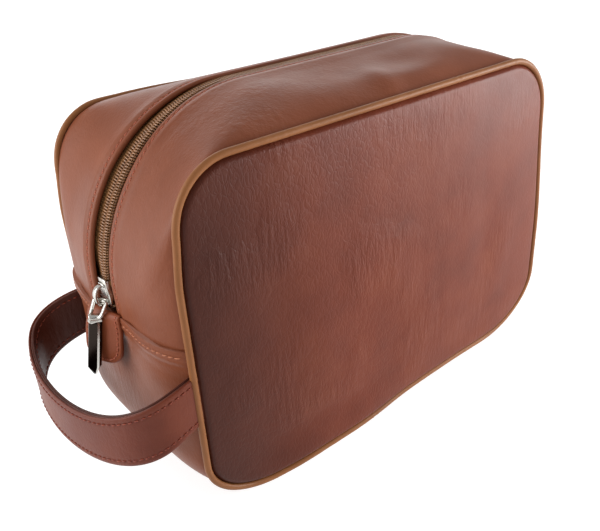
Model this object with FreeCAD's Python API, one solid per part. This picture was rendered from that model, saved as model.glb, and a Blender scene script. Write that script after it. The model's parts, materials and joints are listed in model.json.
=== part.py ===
"""Leather wash bag with piped panels, a zip over the top and a carry strap on one side.

Millimetres. +X runs along the bag towards its plain end, so the carry strap is at -X.
+Y is the back and +Z is up. The origin is the middle of the underside, on the surface
that the bag stands on.
"""
import FreeCAD, Part
import math
import os

from FreeCAD import Vector

# ---- whole bag ----------
SEAM_Y = 55.0            # half the distance between the two piped seams
SEAM_HALF_WIDTH = 119.0  # piping centre line, half its width
SEAM_TOP = 170.0         # piping centre line, highest point
SEAM_TOP_RADIUS = 28.0
SEAM_LOW_RADIUS = 34.0
PIPING_RADIUS = 1.6
PIPING_CORD_RADIUS = 0.9

# ---- gusset, the long strip between the two panels ----------
GUSSET_EDGE_Y = SEAM_Y - PIPING_RADIUS
CROWN_HALF_WIDTH = 129.0  # outside of the gusset half way between the panels
CROWN_TOP = 183.0
CROWN_LOW_RADIUS = 40.0
SHOULDER_Y = 38.0         # the gusset turns down towards each seam from here
SHOULDER_RISE_TOP = 0.5   # how much of the crown is left here, on top and at the ends
SHOULDER_RISE_END = 0.7
END_SEAM_Z = 91.0         # where the zip strips meet the base strip
BASE_SPARE = 1.0          # the strip is formed this much too low, then cut off flat

# ---- zip track: the outer face of the coil follows this line ------------------------
TRACK_RADIUS = 77.0
TRACK_CENTRE_Z = 105.0
LEATHER_ABOVE_COIL = 1.0
TRACK_CENTRE_X = CROWN_HALF_WIDTH - LEATHER_ABOVE_COIL - TRACK_RADIUS
ZIP_GAP_HALF = 6.0        # leather edge to the middle of the zip
ROW_HALF_GAP = 0.7        # the slider's post passes between the rows
ROW_OUTER = 3.0
COIL_THICKNESS = 2.2
TAPE_THICKNESS = 0.6
TAPE_HALF_WIDTH = 14.0
ROW_END_Z = 94.5
STOP_HALF_GAP = 0.2
STOP_RIM = 0.4            # a stop wraps the rows by this much above and below
STOP_OVERHANG = 0.3       # and by this much at the sides
TOP_STOP = (-9.4, -7.7)   # along the track from the middle of the closed slider
BOTTOM_STOP = (-10.5, -7.7)

# ---- sheet goods ----------
LEATHER = 1.6
BOARD = 1.6
LINING = 0.4
PIPING_FLANGE = 0.6
SEAM_ALLOWANCE = 9.5
SEAM_GAP = 0.5            # boards and panel linings stop this far short of the allowance
BINDING_THICKNESS = 2.2
LINING_INSET = 5.0
LINING_HALF_WIDTH = 51.5
LINING_ZIP_GAP_HALF = 8.0
BASE_BOARD_HALF_WIDTH = 51.0
HEM_TOP = LEATHER_ABOVE_COIL - LEATHER + 0.05

# ---- slider and pull ----------
SLIDER_DROP = 3.0         # closed slider's middle, along the track below the arc's centre
SLIDER_LENGTH = 13.0
SLIDER_HALF_WIDTH = 5.0
SLIDER_TAIL_HALF_WIDTH = 3.9
SLIDER_PLATE = 1.1
SLIDER_CLEARANCE = 0.3
SLIDER_SIDE_GAP = 0.35    # between a row and the slider's side wall
SLIDER_CORNER_ACROSS = 1.0
SLIDER_CORNER_ALONG = 1.5
SLIDER_WAIST = (-0.5, 1.5)  # where the plan narrows, along the track from the middle
SLIDER_POST_HALF = 0.4
SLIDER_POST = (0.5, 4.0)  # from the mouth's edge
CASTING_OVERLAP = 0.2     # parts of one casting run into each other by this much
BRIDGE_HALF_WIDTH = 1.4
BRIDGE_TOP = 6.3
BRIDGE_BAR = 1.3
BRIDGE_FOOT = SLIDER_CLEARANCE + SLIDER_PLATE - 0.3
BRIDGE_EYE_TOP = BRIDGE_TOP - BRIDGE_BAR
# outlines as (height above the coil, place along the track)
BRIDGE_OUTLINE = (
    (BRIDGE_FOOT, -6.0), (3.4, -6.0), (5.4, -4.9), (BRIDGE_TOP, -2.6), (BRIDGE_TOP, 1.6),
    (5.2, 4.4), (BRIDGE_FOOT, 6.0),
)
BRIDGE_EYE = (
    (2.3, -4.7), (3.6, -4.7), (4.7, -4.0), (BRIDGE_EYE_TOP, -2.4), (BRIDGE_EYE_TOP, 1.1),
    (4.2, 3.2), (2.3, 3.9),
)
PIVOT_HEIGHT = 4.0        # pull pivot above the coil
PIVOT_DROP = 3.0          # pull pivot below the slider's middle
PULL_LEAN = 12.0          # degrees out from vertical, where it rests on the tab
PULL_BAR_RADIUS = 0.8
PULL_RING_LENGTH = 9.0
PULL_RING_HALF_WIDTH = 3.7
PULL_RING_ARM = 1.8
PULL_NECK = 4.0
PULL_NECK_HALF_WIDTH = PULL_RING_HALF_WIDTH - 0.5
PULL_NECK_PROUD = 0.4
PULL_GROOVE = (1.6, 2.4)  # above the top of the blade
PULL_BACK_CHAMFER = 0.4
PULL_BLADE = 25.0
PULL_BLADE_HALF_WIDTH = 3.9
PULL_TIP = 4.5
PULL_EDGE = 1.0
PULL_RIDGE = 1.5

# ---- leather tab at each end of the zip ----------
TAB_HALF_WIDTH = 10.5
TAB_LENGTH = 28.0
TAB_THICKNESS = 2.0
TAB_CORNER = 9.0
TAB_LEAN = 12.0
TAB_TOP_Z = 93.0
TAB_CLEARANCE = 0.3       # between the leather and the top of the tab
TAB_ROOT = 3.0            # the part turned in to the seam

# ---- carry strap ----------
STRAP_WIDTH = 25.0
STRAP_LAYER = 1.1
STRAP_LAYER_GAP = 0.1
STRAP_Z = 66.0            # middle of the strap where it is sewn in
STRAP_AXIS_X = -123.0     # the strap bends about this line
STRAP_Y = 51.2
STRAP_NOSE_X = -158.0
STRAP_BEND = 32.0
STRAP_DROOP = 0.48        # drop per millimetre away from the bag
STRAP_FREE_START = 12.5   # the swinging length starts this far from the axis
STRAP_ROOT_RADIUS = 11.5
STRAP_TAIL = 6.0          # length sewn inside the seam
STRAP_CORE_NARROWER = 3.0
STRAP_THICKNESS = 3 * STRAP_LAYER + 2 * STRAP_LAYER_GAP

# ---- stitching ----------
STITCH_LENGTH = 3.0
STITCH_PITCH = 4.2
STITCH_WIDTH = 0.6
STITCH_DEPTH = 0.6
STITCH_PROUD = 0.2
SEAM_STITCH_END_GAP = 3.0
TAB_STITCH_GAP = 2.0
SEAM_STITCH_DROP = 3.0    # below the end seam
STRAP_STITCH_INSET = 3.0
BIG = 400.0               # past the edge of anything


def point(x, y, z):
    return Vector(x, y, z)


def block(x_low, x_high, y_low, y_high, z_low, z_high):
    return Part.makeBox(x_high - x_low, y_high - y_low, z_high - z_low, point(x_low, y_low, z_low))


def arc(centre_x, centre_z, radius, start, end, y):
    """Arc in the XZ plane at y, between two angles in degrees measured from +X to +Z."""

    def at(angle):
        turn = math.radians(angle)
        return point(centre_x + radius * math.cos(turn), y, centre_z + radius * math.sin(turn))

    return Part.Arc(at(start), at((start + end) / 2), at(end)).toShape()


def line(x_1, z_1, x_2, z_2, y):
    return Part.LineSegment(point(x_1, y, z_1), point(x_2, y, z_2)).toShape()


def rounded_outline(half_width, low, top, low_radius, top_radius, y):
    """Closed wire of four straight sides and four arcs, in the XZ plane at y."""
    right_top = half_width - top_radius
    right_low = half_width - low_radius
    edges = [
        line(-right_low, low, right_low, low, y),
        arc(right_low, low + low_radius, low_radius, -90, 0, y),
        line(half_width, low + low_radius, half_width, top - top_radius, y),
        arc(right_top, top - top_radius, top_radius, 0, 90, y),
        line(right_top, top, -right_top, top, y),
        arc(-right_top, top - top_radius, top_radius, 90, 180, y),
        line(-half_width, top - top_radius, -half_width, low + low_radius, y),
        arc(-right_low, low + low_radius, low_radius, 180, 270, y),
    ]
    return Part.Wire(edges)


def seam_outline(inset, y):
    """The piping's centre line, moved inwards by inset."""
    return rounded_outline(
        SEAM_HALF_WIDTH - inset,
        PIPING_RADIUS + inset,
        SEAM_TOP - inset,
        SEAM_LOW_RADIUS - inset,
        SEAM_TOP_RADIUS - inset,
        y,
    )


def seam_plate(inset, y_start, thickness, hole_inset=None):
    """Flat plate inside the seam line, with an optional hole that leaves a ring."""
    plate = Part.Face(seam_outline(inset, y_start)).extrude(point(0, thickness, 0))
    if hole_inset is None:
        return plate
    hole = Part.Face(seam_outline(hole_inset, y_start)).extrude(point(0, thickness, 0))
    return plate.cut(hole)


def gusset_section(inset, y):
    """The gusset's outline at y: the seam's shape at the edges, the crown's in the middle."""
    rise_end = {0.0: 1.0, SHOULDER_Y: SHOULDER_RISE_END}.get(abs(y), 0.0)
    rise_top = {0.0: 1.0, SHOULDER_Y: SHOULDER_RISE_TOP}.get(abs(y), 0.0)

    def between(seam, crown, rise):
        return seam + (crown - seam) * rise

    crown_top_radius = TRACK_RADIUS + LEATHER_ABOVE_COIL
    return rounded_outline(
        between(SEAM_HALF_WIDTH, CROWN_HALF_WIDTH, rise_end) - inset,
        inset - BASE_SPARE,
        between(SEAM_TOP, CROWN_TOP, rise_top) - inset,
        between(SEAM_LOW_RADIUS, CROWN_LOW_RADIUS, rise_end) - inset,
        between(SEAM_TOP_RADIUS, crown_top_radius, rise_top) - inset,
        y,
    )


def gusset_solid(inset):
    """The space inside the gusset, its skin moved inwards by inset, with a flat underside."""
    places = (-GUSSET_EDGE_Y, -SHOULDER_Y, 0.0, SHOULDER_Y, GUSSET_EDGE_Y)
    solid = Part.makeLoft([gusset_section(inset, y) for y in places], True, False)
    return solid.common(block(-BIG, BIG, -BIG, BIG, inset, BIG))


def gusset_shell(inset, thickness):
    return gusset_solid(inset).cut(gusset_solid(inset + thickness))


def track_angle_below(z):
    """Degrees that the track runs on below its centre height before it reaches z."""
    return math.degrees(math.asin((TRACK_CENTRE_Z - z) / TRACK_RADIUS))


def track_strip(low, high, y_low, y_high, end_z):
    """Strip over the whole zip track, between two heights above the coil's outer face."""
    inner = TRACK_RADIUS + low
    outer = TRACK_RADIUS + high
    below = track_angle_below(end_z)
    left = -TRACK_CENTRE_X
    right = TRACK_CENTRE_X

    def ends(radius):
        turn = math.radians(below)
        return radius * math.cos(turn), TRACK_CENTRE_Z - radius * math.sin(turn)

    x_outer, z_outer = ends(outer)
    x_inner, z_inner = ends(inner)
    edges = [
        arc(left, TRACK_CENTRE_Z, outer, 180 + below, 90, y_low),
        line(left, TRACK_CENTRE_Z + outer, right, TRACK_CENTRE_Z + outer, y_low),
        arc(right, TRACK_CENTRE_Z, outer, 90, -below, y_low),
        line(right + x_outer, z_outer, right + x_inner, z_inner, y_low),
        arc(right, TRACK_CENTRE_Z, inner, -below, 90, y_low),
        line(right, TRACK_CENTRE_Z + inner, left, TRACK_CENTRE_Z + inner, y_low),
        arc(left, TRACK_CENTRE_Z, inner, 90, 180 + below, y_low),
        line(left - x_inner, z_inner, left - x_outer, z_outer, y_low),
    ]
    return Part.Face(Part.Wire(edges)).extrude(point(0, y_high - y_low, 0))


def track_piece(low, high, y_low, y_high, along_low, along_high):
    """Short curved piece of track, along_* measured up it from the arc's centre height."""
    start = 180 - math.degrees(along_high / TRACK_RADIUS)
    end = 180 - math.degrees(along_low / TRACK_RADIUS)
    inner = TRACK_RADIUS + low
    outer = TRACK_RADIUS + high

    def at(radius, angle):
        turn = math.radians(angle)
        x = -TRACK_CENTRE_X + radius * math.cos(turn)
        return x, TRACK_CENTRE_Z + radius * math.sin(turn)

    edges = [
        arc(-TRACK_CENTRE_X, TRACK_CENTRE_Z, outer, start, end, y_low),
        line(*at(outer, end), *at(inner, end), y_low),
        arc(-TRACK_CENTRE_X, TRACK_CENTRE_Z, inner, end, start, y_low),
        line(*at(inner, start), *at(outer, start), y_low),
    ]
    return Part.Face(Part.Wire(edges)).extrude(point(0, y_high - y_low, 0))


def mirrored_y(shape):
    return shape.mirror(point(0, 0, 0), point(0, 1, 0))


def mirrored_x(shape):
    return shape.mirror(point(0, 0, 0), point(1, 0, 0))


# ---- panels and piping ----------

def panel():
    """Front leather panel, up against the piping."""
    return seam_plate(PIPING_RADIUS, -SEAM_Y - LEATHER, LEATHER)


def panel_board():
    return seam_plate(SEAM_ALLOWANCE + SEAM_GAP, -SEAM_Y, BOARD)


def panel_lining():
    return seam_plate(SEAM_ALLOWANCE + SEAM_GAP, -SEAM_Y + BOARD, LINING)


def seam_tube(radius):
    """Round cord along the front seam line."""
    path = seam_outline(0.0, -SEAM_Y)
    start = point(0, -SEAM_Y, PIPING_RADIUS)
    profile = Part.Wire(Part.makeCircle(radius, start, point(1, 0, 0)))
    half = Part.Wire(split_at_bottom_middle(path))
    return half.makePipeShell([profile], True, True)


def split_at_bottom_middle(path):
    """The path's edges again, starting half way along the bottom."""
    y = -SEAM_Y
    z = PIPING_RADIUS
    reach = SEAM_HALF_WIDTH - SEAM_LOW_RADIUS
    edges = path.OrderedEdges
    return [line(0, z, reach, z, y)] + edges[1:] + [line(-reach, z, 0, z, y)]


def piping_cord():
    return seam_tube(PIPING_CORD_RADIUS)


def piping_cover():
    """Leather wrapped round the cord, with the flange that is sewn into the seam."""
    flange = seam_plate(PIPING_CORD_RADIUS, -SEAM_Y, PIPING_FLANGE, SEAM_ALLOWANCE)
    tube = seam_tube(PIPING_RADIUS).fuse(flange)
    return tube.cut(seam_tube(PIPING_CORD_RADIUS))


def seam_binding(roots):
    """Tape over the raw edges inside the seam."""
    y_start = -SEAM_Y + PIPING_FLANGE
    ring = seam_plate(PIPING_RADIUS, y_start, BINDING_THICKNESS, SEAM_ALLOWANCE)
    return ring.cut(roots)


# ---- gusset ----------

def upper_front(shape, gap_half):
    """The part of a gusset shell above the end seams and in front of the zip."""
    keep = block(-BIG, BIG, -GUSSET_EDGE_Y, -gap_half, END_SEAM_Z, BIG)
    return shape.common(keep)


def zip_gusset(shell):
    """Leather strip in front of the zip, its edge turned under along the tape."""
    strip = upper_front(shell, ZIP_GAP_HALF)
    hem = track_strip(-COIL_THICKNESS, HEM_TOP, -TAPE_HALF_WIDTH, -ZIP_GAP_HALF, END_SEAM_Z)
    hem = hem.common(block(-BIG, BIG, -BIG, BIG, END_SEAM_Z, BIG))
    return strip.fuse(hem).removeSplitter()


def base_gusset(shell, roots):
    """Leather strip under the bag and up both ends to the end seams."""
    keep = block(-BIG, BIG, -GUSSET_EDGE_Y, GUSSET_EDGE_Y, -BIG, END_SEAM_Z)
    return shell.common(keep).cut(roots)


def base_board():
    reach = SEAM_HALF_WIDTH - SEAM_LOW_RADIUS
    half = BASE_BOARD_HALF_WIDTH
    return block(-reach, reach, -half, half, LEATHER, LEATHER + BOARD)


def base_lining(shell):
    half = LINING_HALF_WIDTH
    return shell.common(block(-BIG, BIG, -half, half, -BIG, END_SEAM_Z))


def zip_lining(shell):
    strip = upper_front(shell, LINING_ZIP_GAP_HALF)
    return strip.common(block(-BIG, BIG, -LINING_HALF_WIDTH, 0.0, END_SEAM_Z, BIG))


# ---- zip ----------

def zip_tape():
    top = -COIL_THICKNESS
    return track_strip(top - TAPE_THICKNESS, top, -TAPE_HALF_WIDTH, -ROW_HALF_GAP, END_SEAM_Z)


def zip_row():
    return track_strip(-COIL_THICKNESS, 0.0, -ROW_OUTER, -ROW_HALF_GAP, ROW_END_Z)


def zip_stop_at(from_slider_low, from_slider_high):
    """Metal clip at the end of the rows, gripping the tape's edges."""
    along_low = from_slider_low - SLIDER_DROP
    along_high = from_slider_high - SLIDER_DROP
    half_width = ROW_OUTER + STOP_OVERHANG
    low = -COIL_THICKNESS - TAPE_THICKNESS - STOP_RIM
    clip = track_piece(low, STOP_RIM, -half_width, half_width, along_low, along_high)
    top = -COIL_THICKNESS
    tape = track_piece(
        top - TAPE_THICKNESS, top, ROW_HALF_GAP, half_width, along_low - 1, along_high + 1
    )
    return clip.cut(tape).cut(mirrored_y(tape))


def top_stops():
    """One small clip on each row, just below the closed slider."""
    both = zip_stop_at(*TOP_STOP)
    return both.cut(block(-BIG, 0, -STOP_HALF_GAP, STOP_HALF_GAP, 0, BIG))


def bottom_stop():
    """Clip across both rows at the far end."""
    return mirrored_x(zip_stop_at(*BOTTOM_STOP))


def slider_plan(shape):
    """Trim a slider plate to its plan: wide at the mouth, narrow at the tail."""
    low = TRACK_CENTRE_Z - SLIDER_LENGTH / 2
    high = TRACK_CENTRE_Z + SLIDER_LENGTH / 2
    waist_low, waist_high = (TRACK_CENTRE_Z + along for along in SLIDER_WAIST)
    right = [
        (SLIDER_HALF_WIDTH - SLIDER_CORNER_ACROSS, low),
        (SLIDER_HALF_WIDTH, low + SLIDER_CORNER_ALONG),
        (SLIDER_HALF_WIDTH, waist_low),
        (SLIDER_TAIL_HALF_WIDTH, waist_high),
        (SLIDER_TAIL_HALF_WIDTH, high),
    ]
    corners = right + [(-y, z) for y, z in reversed(right)]
    points = [point(-BIG, y, z) for y, z in corners]
    plan = Part.Face(Part.makePolygon(points + points[:1])).extrude(point(BIG, 0, 0))
    return shape.common(plan)


def slider_bridge():
    """Arched loop over the top plate that holds the pull."""
    base_x = -CROWN_HALF_WIDTH + LEATHER_ABOVE_COIL

    def profile(corners):
        points = [
            point(base_x - height, -BRIDGE_HALF_WIDTH, TRACK_CENTRE_Z + along)
            for height, along in corners
        ]
        return Part.Face(Part.makePolygon(points + points[:1])).extrude(
            point(0, 2 * BRIDGE_HALF_WIDTH, 0)
        )

    return profile(BRIDGE_OUTLINE).cut(profile(BRIDGE_EYE))


def lowered_along_track(shape):
    """From the arc's centre height down the track to the closed slider's place."""
    turn = math.degrees(SLIDER_DROP / TRACK_RADIUS)
    shape.rotate(point(-TRACK_CENTRE_X, 0, TRACK_CENTRE_Z), point(0, 1, 0), -turn)
    return shape


def slider_body():
    """Two plates, side walls, post and bridge in one casting."""
    half = SLIDER_LENGTH / 2
    width = SLIDER_HALF_WIDTH
    tape_top = -COIL_THICKNESS
    tape_low = tape_top - TAPE_THICKNESS
    top_low = SLIDER_CLEARANCE
    bottom_top = tape_low - SLIDER_CLEARANCE
    top = track_piece(top_low, top_low + SLIDER_PLATE, -width, width, -half, half)
    bottom = track_piece(bottom_top - SLIDER_PLATE, bottom_top, -width, width, -half, half)
    flange_low = tape_top + SLIDER_CLEARANCE
    wall_top = top_low + CASTING_OVERLAP
    flange = track_piece(flange_low, wall_top, ROW_OUTER + SLIDER_SIDE_GAP, width, -half, half)
    post_start, post_end = (along - half for along in SLIDER_POST)
    post = track_piece(
        bottom_top - CASTING_OVERLAP, wall_top, -SLIDER_POST_HALF, SLIDER_POST_HALF, post_start, post_end
    )
    body = slider_plan(top).fuse(slider_plan(bottom))
    body = body.fuse(slider_plan(flange)).fuse(slider_plan(mirrored_y(flange)))
    body = body.fuse(post).fuse(slider_bridge()).removeSplitter()
    return lowered_along_track(body)


def pull_pivot():
    """Middle of the bridge's eye, where the ring hangs."""
    radius = TRACK_RADIUS + PIVOT_HEIGHT
    turn = (SLIDER_DROP + PIVOT_DROP) / TRACK_RADIUS
    x = -TRACK_CENTRE_X - radius * math.cos(turn)
    return point(x, 0, TRACK_CENTRE_Z - radius * math.sin(turn))


def zip_pull():
    """Ring, neck and ridged blade in one casting, built hanging down and then leaned out."""
    pivot = pull_pivot()
    arm_in = PULL_RING_HALF_WIDTH - PULL_RING_ARM
    half_thick = PULL_BAR_RADIUS
    bar = Part.makeCylinder(
        PULL_BAR_RADIUS, 2 * PULL_RING_HALF_WIDTH, point(0, -PULL_RING_HALF_WIDTH, 0), point(0, 1, 0)
    )
    arms = block(-half_thick, half_thick, arm_in, PULL_RING_HALF_WIDTH, -PULL_RING_LENGTH, 0)
    neck_low = -PULL_RING_LENGTH - PULL_NECK
    neck = block(
        -half_thick - PULL_NECK_PROUD, half_thick, -PULL_NECK_HALF_WIDTH, PULL_NECK_HALF_WIDTH,
        neck_low, -PULL_RING_LENGTH + half_thick,
    )
    groove_low, groove_high = (neck_low + up for up in PULL_GROOVE)
    groove = block(-BIG, -half_thick, -BIG, BIG, groove_low, groove_high)
    pull = bar.fuse(arms).fuse(mirrored_y(arms)).fuse(neck.cut(groove)).fuse(pull_blade(neck_low))
    pull = pull.removeSplitter()
    pull.translate(pivot)
    pull.rotate(pivot, point(0, 1, 0), PULL_LEAN)
    return pull


def pull_blade(top):
    """Long blade with a ridge down its outer face and a pointed end."""
    side = PULL_BLADE_HALF_WIDTH
    outline = [
        (PULL_BAR_RADIUS, -side + PULL_BACK_CHAMFER), (PULL_BAR_RADIUS, side - PULL_BACK_CHAMFER),
        (0.0, side),
        (-PULL_EDGE, side), (-PULL_EDGE - PULL_RIDGE, 0.0), (-PULL_EDGE, -side), (0.0, -side),
    ]
    points = [point(x, y, top) for x, y in outline]
    bar = Part.Face(Part.makePolygon(points + points[:1])).extrude(point(0, 0, -PULL_BLADE))
    low = top - PULL_BLADE
    tip = [(-side, top), (side, top), (side, low + PULL_TIP), (0.0, low), (-side, low + PULL_TIP)]
    tip_points = [point(-BIG, y, z) for y, z in tip]
    keep = Part.Face(Part.makePolygon(tip_points + tip_points[:1])).extrude(point(2 * BIG, 0, 0))
    return bar.common(keep)


def end_tab(skin):
    """D-shaped leather tab hanging from the left end seam, standing off at its foot."""
    half = TAB_HALF_WIDTH
    low = -TAB_LENGTH
    flat = half - TAB_CORNER
    edges = [
        Part.LineSegment(point(0, -half, 0), point(0, half, 0)).toShape(),
        Part.LineSegment(point(0, half, 0), point(0, half, low + TAB_CORNER)).toShape(),
        corner_arc(flat, low + TAB_CORNER, 1),
        Part.LineSegment(point(0, flat, low), point(0, -flat, low)).toShape(),
        corner_arc(-flat, low + TAB_CORNER, -1),
        Part.LineSegment(point(0, -half, low + TAB_CORNER), point(0, -half, 0)).toShape(),
    ]
    tab = Part.Face(Part.Wire(edges)).extrude(point(-TAB_THICKNESS, 0, 0))
    root = block(-TAB_THICKNESS, TAB_ROOT, -half, half, -TAB_THICKNESS, 0)
    tab = tab.fuse(root)
    hinge = point(-CROWN_HALF_WIDTH - TAB_CLEARANCE, 0, TAB_TOP_Z)
    tab.translate(hinge)
    tab.rotate(hinge, point(0, 1, 0), TAB_LEAN)
    return tab.cut(skin).removeSplitter()


def corner_arc(y_centre, z_centre, side):
    def at(angle):
        turn = math.radians(angle)
        y = y_centre + side * TAB_CORNER * math.cos(turn)
        return point(0, y, z_centre + TAB_CORNER * math.sin(turn))

    if side > 0:
        return Part.Arc(at(0), at(-45), at(-90)).toShape()
    return Part.Arc(at(-90), at(-45), at(0)).toShape()


# ---- carry strap ----------

def strap_plan(offset, bottom):
    """Open plan line of the strap, moved outwards by offset: out, round, across and back."""
    y_side = STRAP_Y + offset
    nose = STRAP_NOSE_X - offset
    bend = STRAP_BEND + offset
    x_bend = nose + bend
    y_bend = y_side - bend
    x_root = STRAP_AXIS_X

    def bend_point(side, angle):
        turn = math.radians(angle)
        return point(x_bend - bend * math.sin(turn), side * (y_bend + bend * math.cos(turn)), bottom)

    return [
        Part.LineSegment(point(x_root, -y_side, bottom), point(x_bend, -y_side, bottom)).toShape(),
        Part.Arc(bend_point(-1, 0), bend_point(-1, 45), bend_point(-1, 90)).toShape(),
        Part.LineSegment(point(nose, -y_bend, bottom), point(nose, y_bend, bottom)).toShape(),
        Part.Arc(bend_point(1, 90), bend_point(1, 45), bend_point(1, 0)).toShape(),
        Part.LineSegment(point(x_bend, y_side, bottom), point(x_root, y_side, bottom)).toShape(),
    ]


def strap_layer(low_offset, high_offset, width):
    """One layer of the strap, standing on edge and drooping as it leaves the bag."""
    bottom = STRAP_Z - width / 2
    outer = strap_plan(high_offset, bottom)
    inner = strap_plan(low_offset, bottom)
    x = STRAP_AXIS_X
    y_outer = STRAP_Y + high_offset
    y_inner = STRAP_Y + low_offset
    caps = [
        Part.LineSegment(point(x, y_outer, bottom), point(x, y_inner, bottom)).toShape(),
        Part.LineSegment(point(x, -y_inner, bottom), point(x, -y_outer, bottom)).toShape(),
    ]
    edges = Part.sortEdges(outer + inner + caps)[0]
    solid = Part.Face(Part.Wire(edges)).extrude(point(0, 0, width))
    free = solid.common(block(-BIG, x - STRAP_FREE_START, -BIG, BIG, -BIG, BIG))
    return drooped(free)


def drooped(shape):
    """Lower each point in proportion to its distance from the strap's axis."""
    lean = FreeCAD.Matrix()
    lean.A31 = STRAP_DROOP
    lean.A34 = -STRAP_DROOP * STRAP_AXIS_X
    return shape.transformGeometry(lean)


def strap_layers():
    """Outer leather, webbing core and inner leather, from the outside in."""
    half = STRAP_THICKNESS / 2
    step = STRAP_LAYER + STRAP_LAYER_GAP
    layers = []
    for index in range(3):
        high = half - index * step
        width = STRAP_WIDTH - STRAP_CORE_NARROWER if index == 1 else STRAP_WIDTH
        layers.append(strap_layer(high - STRAP_LAYER, high, width))
    return layers


def strap_root():
    """Front end of the strap: the tail inside the seam and the round stub outside it."""
    y_low = -STRAP_Y - STRAP_THICKNESS / 2
    y_high = -STRAP_Y + STRAP_THICKNESS / 2
    half = STRAP_WIDTH / 2
    x = STRAP_AXIS_X
    tail = block(x, x + STRAP_TAIL, y_low, y_high, STRAP_Z - half, STRAP_Z + half)
    stub = Part.makeCylinder(
        STRAP_ROOT_RADIUS, STRAP_THICKNESS, point(x, y_low, STRAP_Z), point(0, 1, 0)
    )
    stub = stub.common(block(x - BIG, x, -BIG, BIG, 0, BIG))
    return tail.fuse(stub).removeSplitter()


# ---- stitching ----------

def end_seam_stitches():
    """Topstitching under both end seams, half sunk in the leather."""
    stitches = []
    first = TAB_HALF_WIDTH + TAB_STITCH_GAP
    count = int((GUSSET_EDGE_Y - SEAM_STITCH_END_GAP - first) / STITCH_PITCH)
    z_low = END_SEAM_Z - SEAM_STITCH_DROP
    fall = CROWN_HALF_WIDTH - SEAM_HALF_WIDTH
    for index in range(count):
        y = first + index * STITCH_PITCH
        middle = (y + STITCH_LENGTH / 2) / GUSSET_EDGE_Y
        x = CROWN_HALF_WIDTH - fall * middle * middle + STITCH_PROUD
        stitch = block(x - STITCH_DEPTH, x, y, y + STITCH_LENGTH, z_low, z_low + STITCH_WIDTH)
        stitches += [stitch, mirrored_y(stitch)]
    right = Part.makeCompound(stitches)
    return Part.makeCompound(stitches + mirrored_x(right).Solids)


def strap_stitches():
    """Two rows along the straight nose of the strap, half sunk in the outer leather."""
    x_out = STRAP_NOSE_X - STRAP_THICKNESS / 2 - STITCH_PROUD
    reach = STRAP_Y - STRAP_BEND
    count = int(2 * reach / STITCH_PITCH)
    start = -count * STITCH_PITCH / 2
    drop = STRAP_DROOP * (STRAP_NOSE_X - STRAP_AXIS_X)
    stitches = []
    for side in (-1, 1):
        z = STRAP_Z + drop + side * (STRAP_WIDTH / 2 - STRAP_STITCH_INSET)
        for index in range(count):
            y = start + index * STITCH_PITCH
            z_low = z - STITCH_WIDTH / 2
            stitches.append(
                block(x_out, x_out + STITCH_DEPTH, y, y + STITCH_LENGTH, z_low, z_low + STITCH_WIDTH)
            )
    return Part.makeCompound(stitches)


def build():
    skin = gusset_solid(0.0)
    shell = gusset_shell(0.0, LEATHER)
    lining = gusset_shell(LINING_INSET, LINING)
    root = strap_root()
    roots = Part.makeCompound([root, mirrored_y(root)])
    front = {
        "panel": panel(),
        "panel_board": panel_board(),
        "panel_lining": panel_lining(),
        "piping_cover": piping_cover(),
        "piping_cord": piping_cord(),
        "seam_binding": seam_binding(roots),
        "zip_gusset": zip_gusset(shell),
        "zip_gusset_lining": zip_lining(lining),
        "zip_tape": zip_tape(),
        "zip_coil": zip_row(),
        "strap_root": root,
    }
    nodes = {}
    for name, shape in front.items():
        nodes["front_" + name] = shape
        nodes["back_" + name] = mirrored_y(shape)
    outer, core, inner = strap_layers()
    nodes.update({
        "base_gusset": base_gusset(shell, roots),
        "base_board": base_board(),
        "base_lining": base_lining(lining),
        "zip_top_stops": top_stops(),
        "zip_bottom_stop": bottom_stop(),
        "left_zip_tab": end_tab(skin),
        "right_zip_tab": mirrored_x(end_tab(skin)),
        "zip_slider": slider_body(),
        "zip_pull": zip_pull(),
        "strap_outer": outer,
        "strap_core": core,
        "strap_inner": inner,
        "end_seam_stitching": end_seam_stitches(),
        "strap_stitching": strap_stitches(),
    })
    return nodes


def main():
    os.makedirs("parts", exist_ok=True)
    for name, shape in build().items():
        shape.exportStep("parts/" + name + ".step")
        box = shape.optimalBoundingBox()
        print(
            f"{name:26s} solids {len(shape.Solids):3d} valid {shape.isValid()} "
            f"volume {shape.Volume:10.1f} x {box.XMin:7.1f} {box.XMax:7.1f} "
            f"y {box.YMin:6.1f} {box.YMax:6.1f} z {box.ZMin:6.1f} {box.ZMax:6.1f}"
        )


main()
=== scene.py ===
"""Looks of the leather wash bag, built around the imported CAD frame. Lengths are in millimetres
until a mesh is made. Places come from the frame's boxes and joints where it has them."""
import json
import math

import bpy
import numpy as np
from mathutils import Matrix, Vector, noise


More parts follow.
